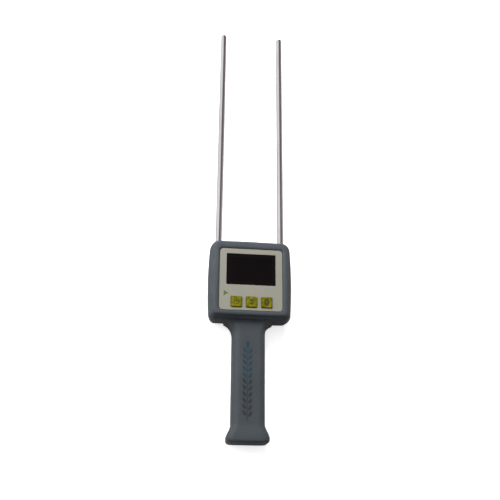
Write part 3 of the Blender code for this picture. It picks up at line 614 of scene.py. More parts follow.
def middle(node):
    low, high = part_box(node)
    return ((low[0] + high[0]) / 2, (low[1] + high[1]) / 2)


def cup_shape(place, inner, outer, low, bottom, high):
    profile = [(inner, low), (outer, low), (outer, high), (0, high), (0, bottom), (inner, bottom)]
    return lathe_shape(profile, (*place, 0), (0, 0, 1), 24)


def housing_fittings():
    """What stands inside the hollow: posts for the screws, and ribs that hold the rods' bushes."""
    fittings = []
    for name in HEAD_SCREWS:
        profile = [(0, 0), (POST_FOOT, 0), (POST_FOOT, POST_STEP), (POST_RADIUS, POST_STEP)]
        profile += [(POST_RADIUS, POST_TOP), (0, POST_TOP)]
        fittings.append(lathe_shape(profile, (*middle(name), MM), (0, 0, 1), 24))
    for name in END_SCREWS:
        fittings.append(cup_shape(middle(name), END_HOLE, END_POST, END_SEAT, *END_POST_Z))
    spans = [(FLANGE_Y[0] - 2.2 * MM, FLANGE_Y[0] - GAP / 2), (FLANGE_Y[1] + GAP / 2, HEAD_Y + 37 * MM)]
    for side in (-1, 1):
        inner, outer = sorted((side * 22.4 * MM, side * 40 * MM))
        for low, high in spans:
            fittings.append(box_shape((inner, low, MM), (outer, high, POST_TOP)))
    return fittings


def bay_walls():
    """The battery bay's ceiling and upper end, and the divider between its two columns."""
    end_low, end_high = BAY_END
    ceiling_low, ceiling_high = BAY_CEILING
    end_corner = (BAY_REACH, end_high - 0.1 * MM, ceiling_high - 0.2 * MM)
    return {
        "ceiling": box_shape((-BAY_REACH, END_Y + MM, ceiling_low), (BAY_REACH, end_high, ceiling_high)),
        "end": box_shape((-BAY_REACH, end_low, MM), end_corner),
        "divider": box_shape((-MM, END_Y + 9 * MM, CELL_Z), (MM, COVER_TOP_Y, ceiling_low + MM)),
    }


def housing_hollow():
    hollow = mesh_object("hollow", head_inside())
    temporary = [mesh_object("handle_hollow", handle_inside()), mesh_object("posts", *housing_fittings())]
    combine(hollow, "UNION", temporary[0])
    combine(hollow, "DIFFERENCE", temporary[1])
    tubes = [rod_shape((*middle(n), 10 * MM), (*middle(n), 18 * MM), SHANK_HOLE) for n in END_SCREWS]
    for name, shape in bay_walls().items():
        wall = mesh_object(name, shape)
        temporary.append(wall)
        if name == "ceiling":
            temporary.append(mesh_object("tubes", *tubes))
            combine(wall, "DIFFERENCE", temporary[-1])
        combine(hollow, "DIFFERENCE", wall)
    applied(hollow)
    discard(*temporary)
    return hollow


def housing_holes():
    """Shapes of the holes through the housing's walls, for screws, contacts and bushes."""
    holes = []
    for name in HEAD_SCREWS:
        profile = [(0, -MM), (SCREW_MOUTH, -MM), (SCREW_MOUTH, -0.01 * MM), (SCREW_WELL, 0.35 * MM)]
        profile += [(SCREW_WELL, SCREW_SEAT), (SHANK_HOLE, SCREW_SEAT), (SHANK_HOLE, 25 * MM), (0, 25 * MM)]
        holes.append(lathe_shape(profile, (*middle(name), 0), (0, 0, 1), 40))
    for name in END_SCREWS:
        low, high = COVER_SPLIT_Z + GAP / 2, END_SEAT - GAP / 2
        holes.append(rod_shape((*middle(name), low), (*middle(name), high), 2.2 * MM))
    for x in (-CELL_X, CELL_X):
        low = (x - SLOT_HALF, BAY_END[0] - MM, SLOT_Z[0])
        holes.append(box_shape(low, (x + SLOT_HALF, BAY_END[1] + MM, SLOT_Z[1])))
    low, high = FLANGE_Y[0] - GAP, FLANGE_Y[1] + GAP
    start, end = HEAD_Y + 26 * MM, HEAD_Y + 45 * MM
    slim, wide = BUSH_RADIUS + FIT, BUSH_FLANGE + GAP
    profile = [(0, start), (slim, start), (slim, low), (wide, low)]
    profile += [(wide, high), (slim, high), (slim, end), (0, end)]
    for side in (-1, 1):
        holes.append(lathe_shape(profile, (side * ROD_X, 0, PARTING_Z), (0, 1, 0), 48))
    return holes


def housing_piece(name, housing, keep, finish, cutters, added=(), body="meter"):
    """The part of the whole housing that lies in the box keep, cut and added to."""
    hollow, holes, handle = housing
    piece = mesh_object(f"{name}_visual", head_outside())
    extent = mesh_object("extent", box_shape(*keep))
    combine(piece, "UNION", handle)
    for cutter in (hollow, holes, *cutters):
        combine(piece, "DIFFERENCE", cutter)
    combine(piece, "INTERSECT", extent)
    for extra in added:
        combine(piece, "UNION", extra)
    applied(piece)
    discard(extent, *cutters, *added)
    return place_piece(piece, body, "housing_plastic", finish, name)


KEYS = {"power": "power_key", "select": "select_key", "measure": "measure_key"}
KEY_HALF, KEY_RADIUS = mm(4.8, 1.2)
KEY_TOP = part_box("key_power")[1][2]
WINDOW_X, WINDOW_Y = mm(21.8, 14.45)
OPENING_X, OPENING_Y = mm(19.5, 12.3)
THROUGH = mm(25, 35)  # from inside the front wall to over the bezel
BELOW, ABOVE, PAST_HEAD = mm(-10, 50, 100)
LABEL_X, LABEL_Y, LABEL_DEPTH = mm(20, 12.5, 0.8)
COVER_BOTTOM = 0.15 * MM
GRIPS, GRIP_PITCH, GRIP_HALF = 5, 2.2 * MM, 7 * MM
WINDOW_CENTRE = (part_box("display_window")[0][1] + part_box("display_window")[1][1]) / 2
INDICATOR = (-22.5 * MM, HEAD_Y - 13.3 * MM)
INDICATOR_RADIUS = 1.8 * MM


def triangle_outline(centre, radius):
    corners = []
    for angle in (0, 120, 240):
        turn = math.radians(angle)
        corners.append((centre[0] + radius * math.cos(turn), centre[1] + radius * math.sin(turn)))
    return corners


def panel_openings(low, high):
    half = (KEY_HALF + GAP, KEY_HALF + GAP)
    cutters = [rounded_block(middle(f"key_{name}"), half, KEY_RADIUS, low, high) for name in KEYS]
    return [*cutters, prism_shape(triangle_outline(INDICATOR, INDICATOR_RADIUS + 2 * GAP), low, high)]


def slab(end_y, low, high):
    """The corners of a block wider than the housing, from beyond its end to end_y, between two heights."""
    return (-100 * MM, -300 * MM, low), (100 * MM, end_y, high)


def make_front_shell(housing, finish):
    view = rounded_block((0, WINDOW_CENTRE), (OPENING_X, OPENING_Y), 1.0 * MM, *THROUGH)
    cutters = [mesh_object("openings", view, *panel_openings(*THROUGH))]
    housing_piece("front_shell", housing, slab(PAST_HEAD, PARTING_Z + GAP / 2, ABOVE), finish, cutters)


def make_rear_shell(housing, finish):
    """Its cutters are the cover's bay, the rebates for the cover's rails, and the label's recess."""
    bay = box_shape(*slab(COVER_TOP_Y + GAP, BELOW, COVER_SPLIT_Z + GAP))
    rebates = []
    for side in (-1, 1):
        inner, outer = sorted((side * 12.0 * MM, side * 13.5 * MM))
        low = (inner, END_Y - 5 * MM, COVER_SPLIT_Z - MM)
        rebates.append(box_shape(low, (outer, COVER_TOP_Y + GAP, 7.6 * MM)))
    recess = rounded_block((0, HEAD_Y + 2 * MM), (LABEL_X, LABEL_Y), 1.5 * MM, -MM, LABEL_DEPTH)
    cutters = [mesh_object("bay", bay), mesh_object("rebates", *rebates), mesh_object("recess", recess)]
    housing_piece("rear_shell", housing, slab(PAST_HEAD, BELOW, PARTING_Z - GAP / 2), finish, cutters)


def cover_hooks():
    """The tongues that go under the rear shell's edge, and the rails that run in its rebates."""
    hooks = []
    root, tip = COVER_TOP_Y - 2.5 * MM, COVER_TOP_Y + 2.6 * MM
    step_y, step_z = COVER_TOP_Y - 0.4 * MM, 2.1 * MM
    profile = [(root, MM), (step_y, MM), (step_y, step_z), (tip, step_z), (tip, 3 * MM), (root, 3 * MM)]
    for side in (-1, 1):
        hook = sorted((side * 4 * MM, side * 9 * MM))
        hooks.append(loft_shape([[(x, y, z) for y, z in profile] for x in hook]))
        inner, outer = sorted((side * 12.8 * MM, side * 13.25 * MM))
        low = (inner, END_Y + 17.0 * MM, 4.8 * MM)
        hooks.append(box_shape(low, (outer, COVER_TOP_Y - MM, 7.2 * MM)))
    return hooks


def cover_grip():
    """Shapes of the thumb grooves across the cover, and of an arrow that points the way it slides."""
    section = [(-0.65, -0.5), (0.65, -0.5), (0.65, 0.14), (0.32, 0.62), (-0.32, 0.62), (-0.65, 0.14)]
    grooves = []
    for i in range(GRIPS):
        y = COVER_TOP_Y - 6 * MM - GRIP_PITCH * i
        profile = [(y + across * MM, z * MM) for across, z in section]
        grooves.append(loft_shape([[(x, *point) for point in profile] for x in (-GRIP_HALF, GRIP_HALF)]))
    arrow = [(-3.2, -22), (0, -26.5), (3.2, -22), (2.2, -22), (0, -25.1), (-2.2, -22)]
    outline = [(x * MM, COVER_TOP_Y + y * MM) for x, y in arrow]
    return [*grooves, prism_shape(outline, -MM, 0.5 * MM)]


def make_cover(housing, finish):
    base = box_shape(*slab(COVER_TOP_Y + MM, -MM, COVER_BOTTOM))
    cutters = [mesh_object("grip", *cover_grip()), mesh_object("base", base)]
    added = [mesh_object("hooks", *cover_hooks())]
    keep = slab(COVER_TOP_Y, BELOW, COVER_SPLIT_Z)
    housing_piece("battery_cover", housing, keep, finish, cutters, added, "cover")


def make_housing(finish):
    holes = mesh_object("holes", *housing_holes())
    housing = (housing_hollow(), holes, mesh_object("handle_block", handle_outside()))
    make_front_shell(housing, finish)
    make_rear_shell(housing, finish)
    make_cover(housing, finish)
    discard(*housing)


# ---- Panel, window, keys and indicator ----

PANEL_RADIUS = 3.1 * MM
LCD_X, LCD_Y, LCD_LINE = mm(18.6, 11.4, 0.15)
KEY_EDGE, KEY_DISH = mm(0.7, 0.14)
SYMBOL_Z = (KEY_TOP - 0.4 * MM, KEY_TOP - 0.03 * MM)


def make_panel(finish):
    bottom = PANEL_LOW[2]
    plate = rounded_block((0, HEAD_Y), (PANEL_X, PANEL_Y), PANEL_RADIUS, bottom, PANEL_TOP, 12)
    panel = mesh_object("front_panel_visual", plate)
    low, high = bottom - MM, PANEL_TOP + MM
    window = rounded_block((0, WINDOW_CENTRE), (WINDOW_X, WINDOW_Y), 1.1 * MM, low, high)
    cutouts = mesh_object("cutouts", window, *panel_openings(low, high))
    bevelled(carved(panel, cutouts), 0.12 * MM)
    place_piece(panel, "meter", "panel_cream", finish, "front_panel")


def make_window(finish):
    """The glossy window, with a fine line engraved round the display behind it."""
    bottom, top = (corner[2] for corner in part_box("display_window"))
    centre = (0, WINDOW_CENTRE)
    glass = rounded_block(centre, (WINDOW_X - GAP, WINDOW_Y - GAP), 0.8 * MM, bottom, top)
    window = mesh_object("display_window_visual", glass)
    outer_half, inner_half = (LCD_X + LCD_LINE, LCD_Y + LCD_LINE), (LCD_X - LCD_LINE, LCD_Y - LCD_LINE)
    groove = mesh_object("groove", rounded_block(centre, outer_half, 0.6 * MM, top - 0.05 * MM, top + MM))
    island = mesh_object("island", rounded_block(centre, inner_half, 0.5 * MM, top - MM, top + 2 * MM))
    bevelled(carved(window, carved(groove, island)), 0.04 * MM)
    place_piece(window, "meter", "window_black", finish, "display_window")


def arc_points(centre, radius_x, radius_y, angles):
    """Points on an ellipse, by their angles in degrees clockwise from +Y."""
    turns = [math.radians(angle) for angle in angles]
    return [(centre[0] + radius_x * math.sin(turn), centre[1] + radius_y * math.cos(turn)) for turn in turns]


def symbol_outlines(name):
    """The outlines of a key's symbol, in millimetres: a ring and bar, two arrowheads, or a grain."""
    if name == "power":
        angles = range(-325, -34, 10)
        outer, inner = (arc_points((0, -0.3), radius, radius, angles) for radius in (2.6, 1.85))
        return [outer + inner[::-1], [(-0.38, 0.1), (0.38, 0.1), (0.38, 3.0), (-0.38, 3.0)]]
    if name == "select":
        arrow = [(-2.3, 0.7), (2.3, 0.7), (0, 3.1)]
        return [arrow, [(x, -y) for x, y in arrow[::-1]]]
    half = [*arc_points((0.2, 0), 2.1, 3.2, range(6, 175, 12)), (0.15, -3.15), (0.2, 0), (0.15, 3.15)]
    return [[(side * x, y) for x, y in half][::side] for side in (-1, 1)]


def make_symbol(name, body, centre, finish):
    shapes = []
    for outline in symbol_outlines(name):
        placed = [(centre[0] + x * MM, centre[1] + y * MM) for x, y in outline]
        shapes.append(prism_shape(placed, *SYMBOL_Z))
    symbol = bevelled(mesh_object(f"key_{name}_symbol", *shapes), 0.08 * MM)
    place_piece(symbol, body, "key_yellow", finish)


def key_sections(bottom, flange):
    """(height, half width, corner radius) up the flange and sides, round the edge, and into the dish."""
    flange_top = HEAD_CEILING - GAP
    sections = [(bottom, flange, 1.0 * MM), (flange_top, flange, 1.0 * MM)]
    sections += [(flange_top, KEY_HALF, KEY_RADIUS), (KEY_TOP - 0.75 * MM, KEY_HALF, KEY_RADIUS)]
    for inward, down in quarter(KEY_EDGE, 6):
        sections.append((KEY_TOP - down, KEY_HALF - inward, KEY_RADIUS - 0.6 * inward))
    for k in (0.93, 0.8, 0.6, 0.4, 0.2, 0.05):
        sections.append((KEY_TOP - KEY_DISH * (1 - k**2), (KEY_HALF - KEY_EDGE) * k, 0.6 * MM * k))
    return sections


def make_keys(finishes):
    for name, body in KEYS.items():
        node = f"key_{name}"
        bottom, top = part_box(node)
        centre = middle(node)
        rings = []
        for z, half, radius in key_sections(bottom[2], (top[0] - bottom[0]) / 2):
            rings.append([(x, y, z) for x, y in rounded_rectangle(half, half, radius, centre, 6, 4)])
        cap = applied(mesh_object(f"{node}_cap", loft_shape(rings)), 40)
        place_piece(cap, body, "key_yellow", finishes["key"], node)
        make_symbol(name, body, centre, finishes["symbol"])


def make_indicator(finish):
    """The triangular lens, on a wider flange that keeps it in behind the panel."""
    bottom, top = (corner[2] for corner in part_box("indicator_lens"))
    flange = triangle_outline(INDICATOR, INDICATOR_RADIUS + 1.2 * MM)
    lens = mesh_object("indicator_lens_visual", prism_shape(flange, bottom, HEAD_CEILING - GAP))
    stem = prism_shape(triangle_outline(INDICATOR, INDICATOR_RADIUS), bottom + 0.3 * MM, top)
    raised = mesh_object("stem", stem)
    combine(lens, "UNION", raised)
    applied(lens)
    bevelled(lens, 0.14 * MM, 3)
    discard(raised)
    place_piece(lens, "meter", "indicator_green", finish, "indicator_lens")


# ---- Motif on the handle ----

MOTIF_X = -1.5 * MM
MOTIF_TOP, MOTIF_END = END_Y + 85.0 * MM, END_Y + 17.0 * MM
MOTIF_Z = (HANDLE_TOP - 0.1 * MM, HANDLE_TOP + 0.03 * MM)
GRAIN_PAIRS, UPPER_PAIRS, GRAIN_PITCH = 11, 5, 5.3 * MM
STEM_HALF = 0.35 * MM


def grain_shape(centre, length, width, lean):
    """A pointed oval, printed on the handle's face. lean is in degrees from the handle's length."""
    outline = []
    for side in (1, -1):
        for i in range(10):
            t = i / 10
            along, across = side * (0.5 - t) * length, side * 0.5 * width * math.sin(math.pi * t) ** 0.8
            a = math.radians(lean)
            x = across * math.cos(a) + along * math.sin(a)
            y = along * math.cos(a) - across * math.sin(a)
            outline.append((centre[0] + x, centre[1] + y))
    return prism_shape(outline, *MOTIF_Z)


def make_motif(finishes):
    """An ear of grain in two printed colours: one grain at the tip, then pairs along a stem."""
    upper = [grain_shape((MOTIF_X, MOTIF_TOP - 3.6 * MM), 7.2 * MM, 2.9 * MM, 0)]
    lower = []
    for k in range(GRAIN_PAIRS):
        group = upper if k < UPPER_PAIRS else lower
        y = MOTIF_TOP - 8.6 * MM - GRAIN_PITCH * k
        for side in (-1, 1):
            centre = (MOTIF_X + side * 2.5 * MM, y - 0.4 * side * MM)
            group.append(grain_shape(centre, 5.8 * MM, 2.3 * MM, 30 * side))
    split = MOTIF_TOP - 9.0 * MM - GRAIN_PITCH * 4.6
    for low, high, group in ((split, MOTIF_TOP - 8.0 * MM, upper), (MOTIF_END, split - 0.5 * MM, lower)):
        stem = (MOTIF_X - STEM_HALF, low, MOTIF_Z[0]), (MOTIF_X + STEM_HALF, high, MOTIF_Z[1])
        group.append(box_shape(*stem))
    for name, shapes in (("teal", upper), ("dark", lower)):
        print_piece = applied(mesh_object(f"handle_motif_{name}", *shapes))
        place_piece(print_piece, "meter", "housing_plastic", finishes[name])


# ---- Rods, bushes, screws, cells ----

ROD_BORE, ROD_EDGE, BUSH_CHAMFER = mm(1.85, 0.5, 0.3)
THREAD_PITCH, THREAD_ROOT = 0.62 * MM, 0.78
NUB_RADIUS, NUB_LENGTH = mm(1.8, 0.9)


def place_turned(node, profile, origin, axis, steps, look, finish):
    """A piece turned about an axis, in its node's place."""
    piece = applied(mesh_object(f"{node}_visual", lathe_shape(profile, origin, axis, steps)), 30)
    place_piece(piece, "meter", look, finish, node)


def make_probe(word, finishes):
    """A tube rod, rounded and closed at its tip, and the bush that holds its foot."""
    rod, bush = f"probe_rod_{word}", f"rod_bush_{word}"
    low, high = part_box(rod)
    radius, shoulder, tip = (high[0] - low[0]) / 2, low[1], high[1]
    origin = ((low[0] + high[0]) / 2, 0, PARTING_Z)
    profile = [(ROD_BORE, shoulder), (radius, shoulder)]
    profile += [(radius - inward, tip - down) for inward, down in quarter(ROD_EDGE, 5)]
    profile += [(0, tip), (0, tip - 3.0 * MM), (ROD_BORE, tip - 4.0 * MM)]
    place_turned(rod, profile, origin, (0, 1, 0), 72, "stainless_steel", finishes["steel"])

    inner_end, outer_end = (corner[1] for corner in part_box(bush))
    hole, step = radius + FIT, shoulder - FIT
    profile = [(ROD_BORE, inner_end), (BUSH_RADIUS, inner_end), (BUSH_RADIUS, FLANGE_Y[0])]
    profile += [(BUSH_FLANGE, FLANGE_Y[0]), (BUSH_FLANGE, FLANGE_Y[1]), (BUSH_RADIUS, FLANGE_Y[1])]
    profile += [(BUSH_RADIUS, outer_end - BUSH_CHAMFER), (BUSH_RADIUS - BUSH_CHAMFER, outer_end)]
    profile += [(hole + 0.2 * MM, outer_end), (hole, outer_end - 0.2 * MM), (hole, step), (ROD_BORE, step)]
    place_turned(bush, profile, origin, (0, 1, 0), 56, "bush_nylon", finishes["nylon"])


def screw_profile(head, shank, low, end):
    """A domed head, then a shank with rings for its thread."""
    seat = low + (2.0 if head > 2.5 * MM else 1.3) * MM
    root = shank * THREAD_ROOT
    profile = [(0, low + 0.02 * head), (0.45 * head, low), (0.78 * head, low + 0.08 * head)]
    profile += [(0.94 * head, low + 0.24 * head), (head, low + 0.4 * head), (head, seat), (shank, seat)]
    for k in range(int((end - seat - 2.2 * shank) / THREAD_PITCH)):
        z = seat + 0.6 * MM + THREAD_PITCH * k
        for radius, share in ((root, 0), (shank, 0.35), (shank, 0.5), (root, 0.85)):
            profile.append((radius, z + share * THREAD_PITCH))
    return profile + [(root, end - shank * 1.1), (0.2 * shank, end), (0, end)]


def make_screw(node, shank, finish):
    """A cross-headed screw, with its head towards -Z."""
    bottom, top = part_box(node)
    head = (top[0] - bottom[0]) / 2
    x, y = middle(node)
    profile = screw_profile(head, shank, bottom[2], top[2])
    screw = mesh_object(f"{node}_visual", lathe_shape(profile, (x, y, 0), (0, 0, 1), 36))
    for half_x, half_y in ((0.62 * head, 0.13 * head), (0.13 * head, 0.62 * head)):
        low = (x - half_x, y - half_y, bottom[2] - MM)
        carved(screw, mesh_object("slot", box_shape(low, (x + half_x, y + half_y, bottom[2] + 0.5 * head))))
    place_piece(screw, "meter", "zinc_steel", finish, node)


def make_cell(node, way, finish):
    """A cell with its jacket's folded ends and its nub, which points along +Y or -Y."""
    bottom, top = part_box(node)
    radius, total = (top[0] - bottom[0]) / 2, top[1] - bottom[1]
    length = total - NUB_LENGTH
    profile = [(0, 0.2 * MM), (3.4 * MM, 0.2 * MM), (3.6 * MM, 0), (radius - 0.5 * MM, 0)]
    profile += [(radius - 0.15 * MM, 0.12 * MM), (radius, 0.45 * MM), (radius, length - 0.6 * MM)]
    profile += [(radius - 0.15 * MM, length - 0.2 * MM), (radius - 0.6 * MM, length)]
    profile += [(radius - 1.2 * MM, length - 0.05 * MM), (NUB_RADIUS + 0.3 * MM, length - 0.1 * MM)]
    profile += [(NUB_RADIUS, length), (NUB_RADIUS, total - 0.15 * MM)]
    profile += [(NUB_RADIUS - 0.2 * MM, total), (0, total)]
    start = bottom[1] if way > 0 else top[1]
    origin = ((bottom[0] + top[0]) / 2, start, (bottom[2] + top[2]) / 2)
    place_turned(node, profile, origin, (0, way, 0), 56, "battery_case", finish)


# ---- Materials ----


def new_finish(name, roughness, metallic=0.0, specular=0.5):
    material = bpy.data.materials.new(name)
    material.use_nodes = True
    inputs = material.node_tree.nodes["Principled BSDF"].inputs
    inputs["Roughness"].default_value = roughness
    inputs["Metallic"].default_value = metallic
    inputs["Specular IOR Level"].default_value = specular
    return material, material.node_tree


def drive(tree, name, value):
    """Link a value or colour to one of the surface's inputs."""
    tree.links.new(value, tree.nodes["Principled BSDF"].inputs[name])


def bump(tree, height, strength, distance, base=None):
    """A relief on the surface, over another one if base is given."""
    values = {"Height": height, "Strength": strength, "Distance": distance}
    if base is not None:
        values["Normal"] = base
    relief = add_node(tree, "ShaderNodeBump", values).outputs[0]
    drive(tree, "Normal", relief)
    return relief


def coordinates(tree, kind="Object"):
    """X, Y and Z on the piece: Object is in metres, Generated runs from 0 to 1 across it."""
    place = add_node(tree, "ShaderNodeTexCoord").outputs[kind]
    return add_node(tree, "ShaderNodeSeparateXYZ", {0: place}).outputs


def noise(tree, scale, detail=3.0, stretch=(1, 1, 1)):
    """A noise value over the piece. scale is in features per millimetre."""
    place = add_node(tree, "ShaderNodeTexCoord").outputs["Object"]
    spread = tuple(scale * 1000 * s for s in stretch)
    mapped = add_node(tree, "ShaderNodeMapping", {"Vector": place, "Scale": spread})
    values = {"Vector": mapped.outputs[0], "Scale": 1.0, "Detail": detail, "Roughness": 0.5}
    return add_node(tree, "ShaderNodeTexNoise", values).outputs[0]


def spots(tree, scale, detail, low=0.3, high=0.7, to_low=0.0, to_high=1.0):
    """Noise, with its values from low to high spread out over to_low to to_high."""
    return between(tree, noise(tree, scale, detail), low, high, to_low, to_high)


def flecked(tree, share, mask, base, colour):
    """The base, with a share of another colour where the mask is 1."""
    return blended(tree, calculated(tree, "MULTIPLY", mask, share), base, colour)


def mottled_finish(name, dark, light, roughness, grain, relief, patch=0.12, metallic=0.0):
    """A colour that varies in patches and specks, with a fine surface and an uneven gloss."""
    material, tree = new_finish(name, roughness, metallic)
    patches = calculated(tree, "MULTIPLY", spots(tree, patch, 4.0), 0.65)
    specks = calculated(tree, "MULTIPLY", spots(tree, grain, 2.0, 0.35, 0.65), 0.35)
    drive(tree, "Base Color", blended(tree, calculated(tree, "ADD", specks, patches), dark, light))
    drive(tree, "Roughness", spots(tree, patch * 2, 3.0, 0.3, 0.7, roughness * 0.88, roughness * 1.12))
    bump(tree, noise(tree, grain, 2.0), relief, 0.00004)
    return material


def housing_finish():
    """Blue-grey moulded ABS: a spark-eroded texture, slight flow mottling, edges rubbed lighter, and the
    handle painted darker away from the head, a painted shade for the light that falls off there."""
    material, tree = new_finish("moulded_housing", 0.46, specular=0.3)
    flow = blended(tree, spots(tree, 0.035, 5.0, 0.35, 0.65), (0.052, 0.062, 0.070), (0.062, 0.072, 0.081))
    # Painted shade: the handle's colour darkens away from the head, standing in for the light falling off
    # there.
    painted_falloff_shade = between(tree, coordinates(tree)[1], HEAD_Y - 36 * MM, HEAD_Y - 46 * MM)
    flow = flecked(tree, 0.3, painted_falloff_shade, flow, (0.030, 0.035, 0.038))
    body = flecked(tree, 0.35, spots(tree, 2.2, 2.0), flow, (0.075, 0.086, 0.095))
    edge = between(tree, add_node(tree, "ShaderNodeNewGeometry").outputs["Pointiness"], 0.52, 0.60)
    rubbed = calculated(tree, "MULTIPLY", edge, spots(tree, 0.3, 3.0, 0.4, 0.65))
    drive(tree, "Base Color", flecked(tree, 0.4, rubbed, body, (0.125, 0.135, 0.15)))
    drive(tree, "Roughness", spots(tree, 0.09, 4.0, 0.3, 0.7, 0.40, 0.52))
    texture = bump(tree, noise(tree, 2.6, 3.0), 0.22, 0.00006)
    bump(tree, noise(tree, 0.05, 2.0), 0.12, 0.0004, texture)
    return material


def panel_finish():
    """Cream film, printed and satin, faintly patchy and speckled."""
    material, tree = new_finish("printed_panel", 0.42)
    base = blended(tree, spots(tree, 0.05, 4.0), (0.243, 0.242, 0.200), (0.264, 0.258, 0.207))
    drive(tree, "Base Color", flecked(tree, 0.3, spots(tree, 4.0, 2.0), base, (0.302, 0.298, 0.254)))
    drive(tree, "Roughness", spots(tree, 0.15, 3.0, 0.3, 0.7, 0.36, 0.48))
    bump(tree, noise(tree, 5.0, 2.0), 0.10, 0.00003)
    return material


def inside_rectangle(tree, centre, *halves):
    """1 inside a rectangle in the piece's X and Y, 0 outside it."""
    sides = []
    for value, middle_value, half in zip(coordinates(tree), centre, halves):
        distance = calculated(tree, "ABSOLUTE", calculated(tree, "SUBTRACT", value, middle_value))
        sides.append(calculated(tree, "LESS_THAN", distance, half))
    return calculated(tree, "MULTIPLY", *sides)


def window_finish():
    """Smoked glossy plastic, black printed border, and the faintly paler display behind it."""
    material, tree = new_finish("smoked_window", 0.07, specular=0.28)
    display = inside_rectangle(tree, (0, WINDOW_CENTRE), LCD_X, LCD_Y)
    smear = spots(tree, 0.08, 4.0, 0.4, 0.7)
    field = blended(tree, smear, (0.0018, 0.0015, 0.0017), (0.0024, 0.0020, 0.0022))
    drive(tree, "Base Color", blended(tree, display, (0.0028, 0.0025, 0.0026), field))
    drive(tree, "Roughness", spots(tree, 0.12, 5.0, 0.4, 0.75, 0.05, 0.14))
    return material


def key_finish():
    """Olive-yellow silicone, printed thinner in spots."""
    material, tree = new_finish("silicone_key", 0.55, specular=0.1)
    patches = spots(tree, 0.45, 2.0, 0.38, 0.64)
    drive(tree, "Base Color", blended(tree, patches, (0.100, 0.092, 0.001), (0.205, 0.188, 0.002)))
    drive(tree, "Roughness", spots(tree, 0.8, 3.0, 0.3, 0.7, 0.42, 0.56))
    bump(tree, noise(tree, 3.0, 3.0), 0.14, 0.00004)
    return material


def steel_finish():
    """Stainless tube, centreless ground: fine marks round it, a few long scratches."""
    material, tree = new_finish("ground_stainless", 0.17, 1.0)
    rings = noise(tree, 1.2, 3.0, (0.4, 9.0, 0.4))
    streaks = noise(tree, 2.0, 2.0, (1.0, 0.02, 1.0))
    stain = spots(tree, 0.03, 3.0, 0.35, 0.7)
    drive(tree, "Base Color", blended(tree, stain, (0.66, 0.645, 0.64), (0.58, 0.56, 0.55)))
    drive(tree, "Roughness", between(tree, rings, 0.3, 0.7, 0.12, 0.24))
    texture = bump(tree, rings, 0.05, 0.00002)
    bump(tree, streaks, 0.04, 0.00003, texture)
    return material


def cell_finish(way):
    """Printed jacket: dark for most of its length, and a coppery band by the nub."""
    material, tree = new_finish(f"cell_jacket_{'up' if way > 0 else 'down'}", 0.3, 0.85)
    place = coordinates(tree, "Generated")[1]
    if way < 0:
        place = calculated(tree, "SUBTRACT", 1.0, place)
    jacket = blended(tree, between(tree, place, 0.735, 0.74), (0.022, 0.026, 0.035), (0.50, 0.25, 0.10))
    line = calculated(tree, "MULTIPLY", between(tree, place, 0.70, 0.703), between(tree, place, 0.715, 0.712))
    jacket = blended(tree, line, jacket, (0.62, 0.62, 0.62))
    nub, base = between(tree, place, 0.972, 0.975), between(tree, place, 0.012, 0.009)
    ended = blended(tree, calculated(tree, "MAXIMUM", nub, base), jacket, (0.62, 0.61, 0.60))
    scuffs = spots(tree, 0.6, 5.0, 0.5, 0.72)
    drive(tree, "Base Color", flecked(tree, 0.12, scuffs, ended, (0.5, 0.5, 0.5)))
    drive(tree, "Roughness", spots(tree, 0.5, 4.0, 0.3, 0.7, 0.22, 0.38))
    bump(tree, noise(tree, 1.0, 3.0), 0.08, 0.00004)
    return material


def label_finish():
    """Brushed silver film with a thin dark frame and nothing written in it."""
    material, tree = new_finish("blank_label", 0.36, 0.6)
    bottom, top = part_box("rating_label")
    frames = []
    for margin in mm(1.2, 1.55):
        halves = [(top[axis] - bottom[axis]) / 2 - margin for axis in (0, 1)]
        frames.append(inside_rectangle(tree, middle("rating_label"), *halves))
    brushed = between(tree, noise(tree, 1.0, 4.0, (0.05, 4.0, 1.0)), 0.3, 0.7)
    film = blended(tree, brushed, (0.43, 0.44, 0.45), (0.55, 0.56, 0.57))
    line = calculated(tree, "SUBTRACT", *frames)
    drive(tree, "Base Color", blended(tree, line, film, (0.03, 0.03, 0.035)))
    drive(tree, "Roughness", between(tree, brushed, 0.0, 1.0, 0.30, 0.42))
    bump(tree, brushed, 0.05, 0.00002)
    return material


def board_finish():
    """Green solder mask over faint copper tracks."""
    material, tree = new_finish("solder_mask", 0.32)
    place = add_node(tree, "ShaderNodeTexCoord").outputs["Object"]
    mapped = add_node(tree, "ShaderNodeMapping", {"Vector": place, "Scale": (320, 320, 320)})
    values = {"Vector": mapped.outputs[0], "Scale": 1.0, "Mortar Size": 0.06}
    tracks = add_node(tree, "ShaderNodeTexBrick", values).outputs["Fac"]
    mask = blended(tree, spots(tree, 0.1, 4.0), (0.006, 0.085, 0.022), (0.010, 0.115, 0.034))
    drive(tree, "Base Color", blended(tree, tracks, mask, (0.020, 0.16, 0.05)))
    bump(tree, tracks, 0.2, 0.00005)
    return material


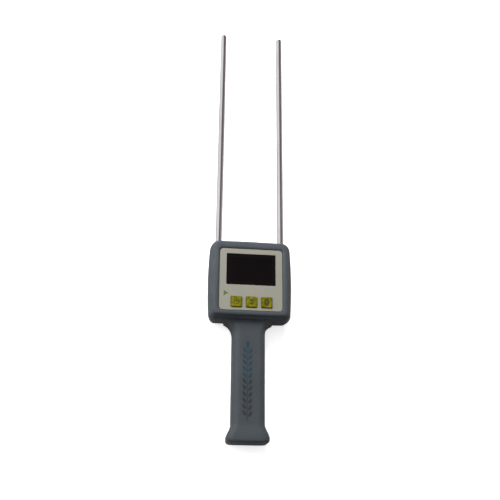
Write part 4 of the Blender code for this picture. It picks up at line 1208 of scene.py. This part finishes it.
def make_finishes():
    plain_finishes = {  # name, dark and light colours, roughness, specks per millimetre, depth of relief
        "symbol": ("printed_symbol", (0.034, 0.030, 0.004), (0.056, 0.049, 0.006), 0.6, 3.0, 0.12),
        "green": ("green_lens", (0.075, 0.150, 0.030), (0.115, 0.205, 0.050), 0.25, 2.0, 0.04),
        "teal": ("teal_print", (0.007, 0.032, 0.046), (0.012, 0.044, 0.060), 0.42, 2.6, 0.16),
        "dark": ("dark_print", (0.014, 0.018, 0.025), (0.021, 0.026, 0.035), 0.44, 2.6, 0.16),
        "nylon": ("black_nylon", (0.011, 0.011, 0.012), (0.020, 0.020, 0.022), 0.48, 1.6, 0.15),
        "component": ("component_body", (0.008, 0.008, 0.009), (0.018, 0.018, 0.020), 0.55, 4.0, 0.2),
        "connector": ("natural_nylon", (0.62, 0.60, 0.52), (0.72, 0.70, 0.63), 0.45, 1.2, 0.1),
        "red": ("red_insulation", (0.30, 0.008, 0.008), (0.42, 0.014, 0.012), 0.42, 2.0, 0.1),
        "black": ("black_insulation", (0.007, 0.007, 0.008), (0.015, 0.015, 0.016), 0.42, 2.0, 0.1),
    }
    finishes = {key: mottled_finish(*values) for key, values in plain_finishes.items()}
    zinc = mottled_finish("zinc_plate", (0.42, 0.43, 0.46), (0.60, 0.60, 0.61), 0.3, 1.4, 0.12, 0.4, 1.0)
    tinned = mottled_finish("tin_plate", (0.52, 0.51, 0.48), (0.68, 0.67, 0.64), 0.28, 1.0, 0.1, 0.3, 1.0)
    finishes.update(zinc=zinc, tinned=tinned, housing=housing_finish(), panel=panel_finish())
    finishes.update(window=window_finish(), key=key_finish(), steel=steel_finish(), label=label_finish())
    finishes.update(board=board_finish(), cell_up=cell_finish(1), cell_down=cell_finish(-1))
    return finishes


CARRIED_OVER = {
    "board": ["circuit_board"],
    "component": ["microcontroller", "measuring_chip", "filter_capacitor", "display_module"]
    + [f"{kind}_{name}" for kind in ("switch", "switch_plunger") for name in KEYS],
    "connector": ["probe_connector", "battery_connector"],
    "green": ["indicator_led"],
    "zinc": ["rod_screw_left", "rod_screw_right"]
    + [f"board_screw_{row}_{side}" for row in ("top", "bottom") for side in ("left", "right")],
    "tinned": ["ring_terminal_left", "ring_terminal_right"]
    + [f"contact_{name}" for name in ("bridge", "positive", "negative")],
    "red": ["probe_lead_left", "battery_lead_red"],
    "black": ["probe_lead_right", "battery_lead_black"],
    "label": ["rating_label"],
}


def finish_carried_over(finishes):
    for finish, names in CARRIED_OVER.items():
        for name in names:
            slots = NODES[name].material_slots
            for slot in slots:
                slot.material = finishes[finish]
            if not slots:
                NODES[name].data.materials.append(finishes[finish])


def main():
    add_camera()
    add_stage()
    finishes = make_finishes()
    make_housing(finishes["housing"])
    make_panel(finishes["panel"])
    make_window(finishes["window"])
    make_keys(finishes)
    make_indicator(finishes["green"])
    make_motif(finishes)
    for word in ("left", "right"):
        make_probe(word, finishes)
    for node in HEAD_SCREWS:
        make_screw(node, 1.45 * MM, finishes["zinc"])
    for node in END_SCREWS:
        make_screw(node, 0.95 * MM, finishes["zinc"])
    for height in ("low", "high"):
        make_cell(f"cell_left_{height}", 1, finishes["cell_up"])
        make_cell(f"cell_right_{height}", -1, finishes["cell_down"])
    finish_carried_over(finishes)


main()
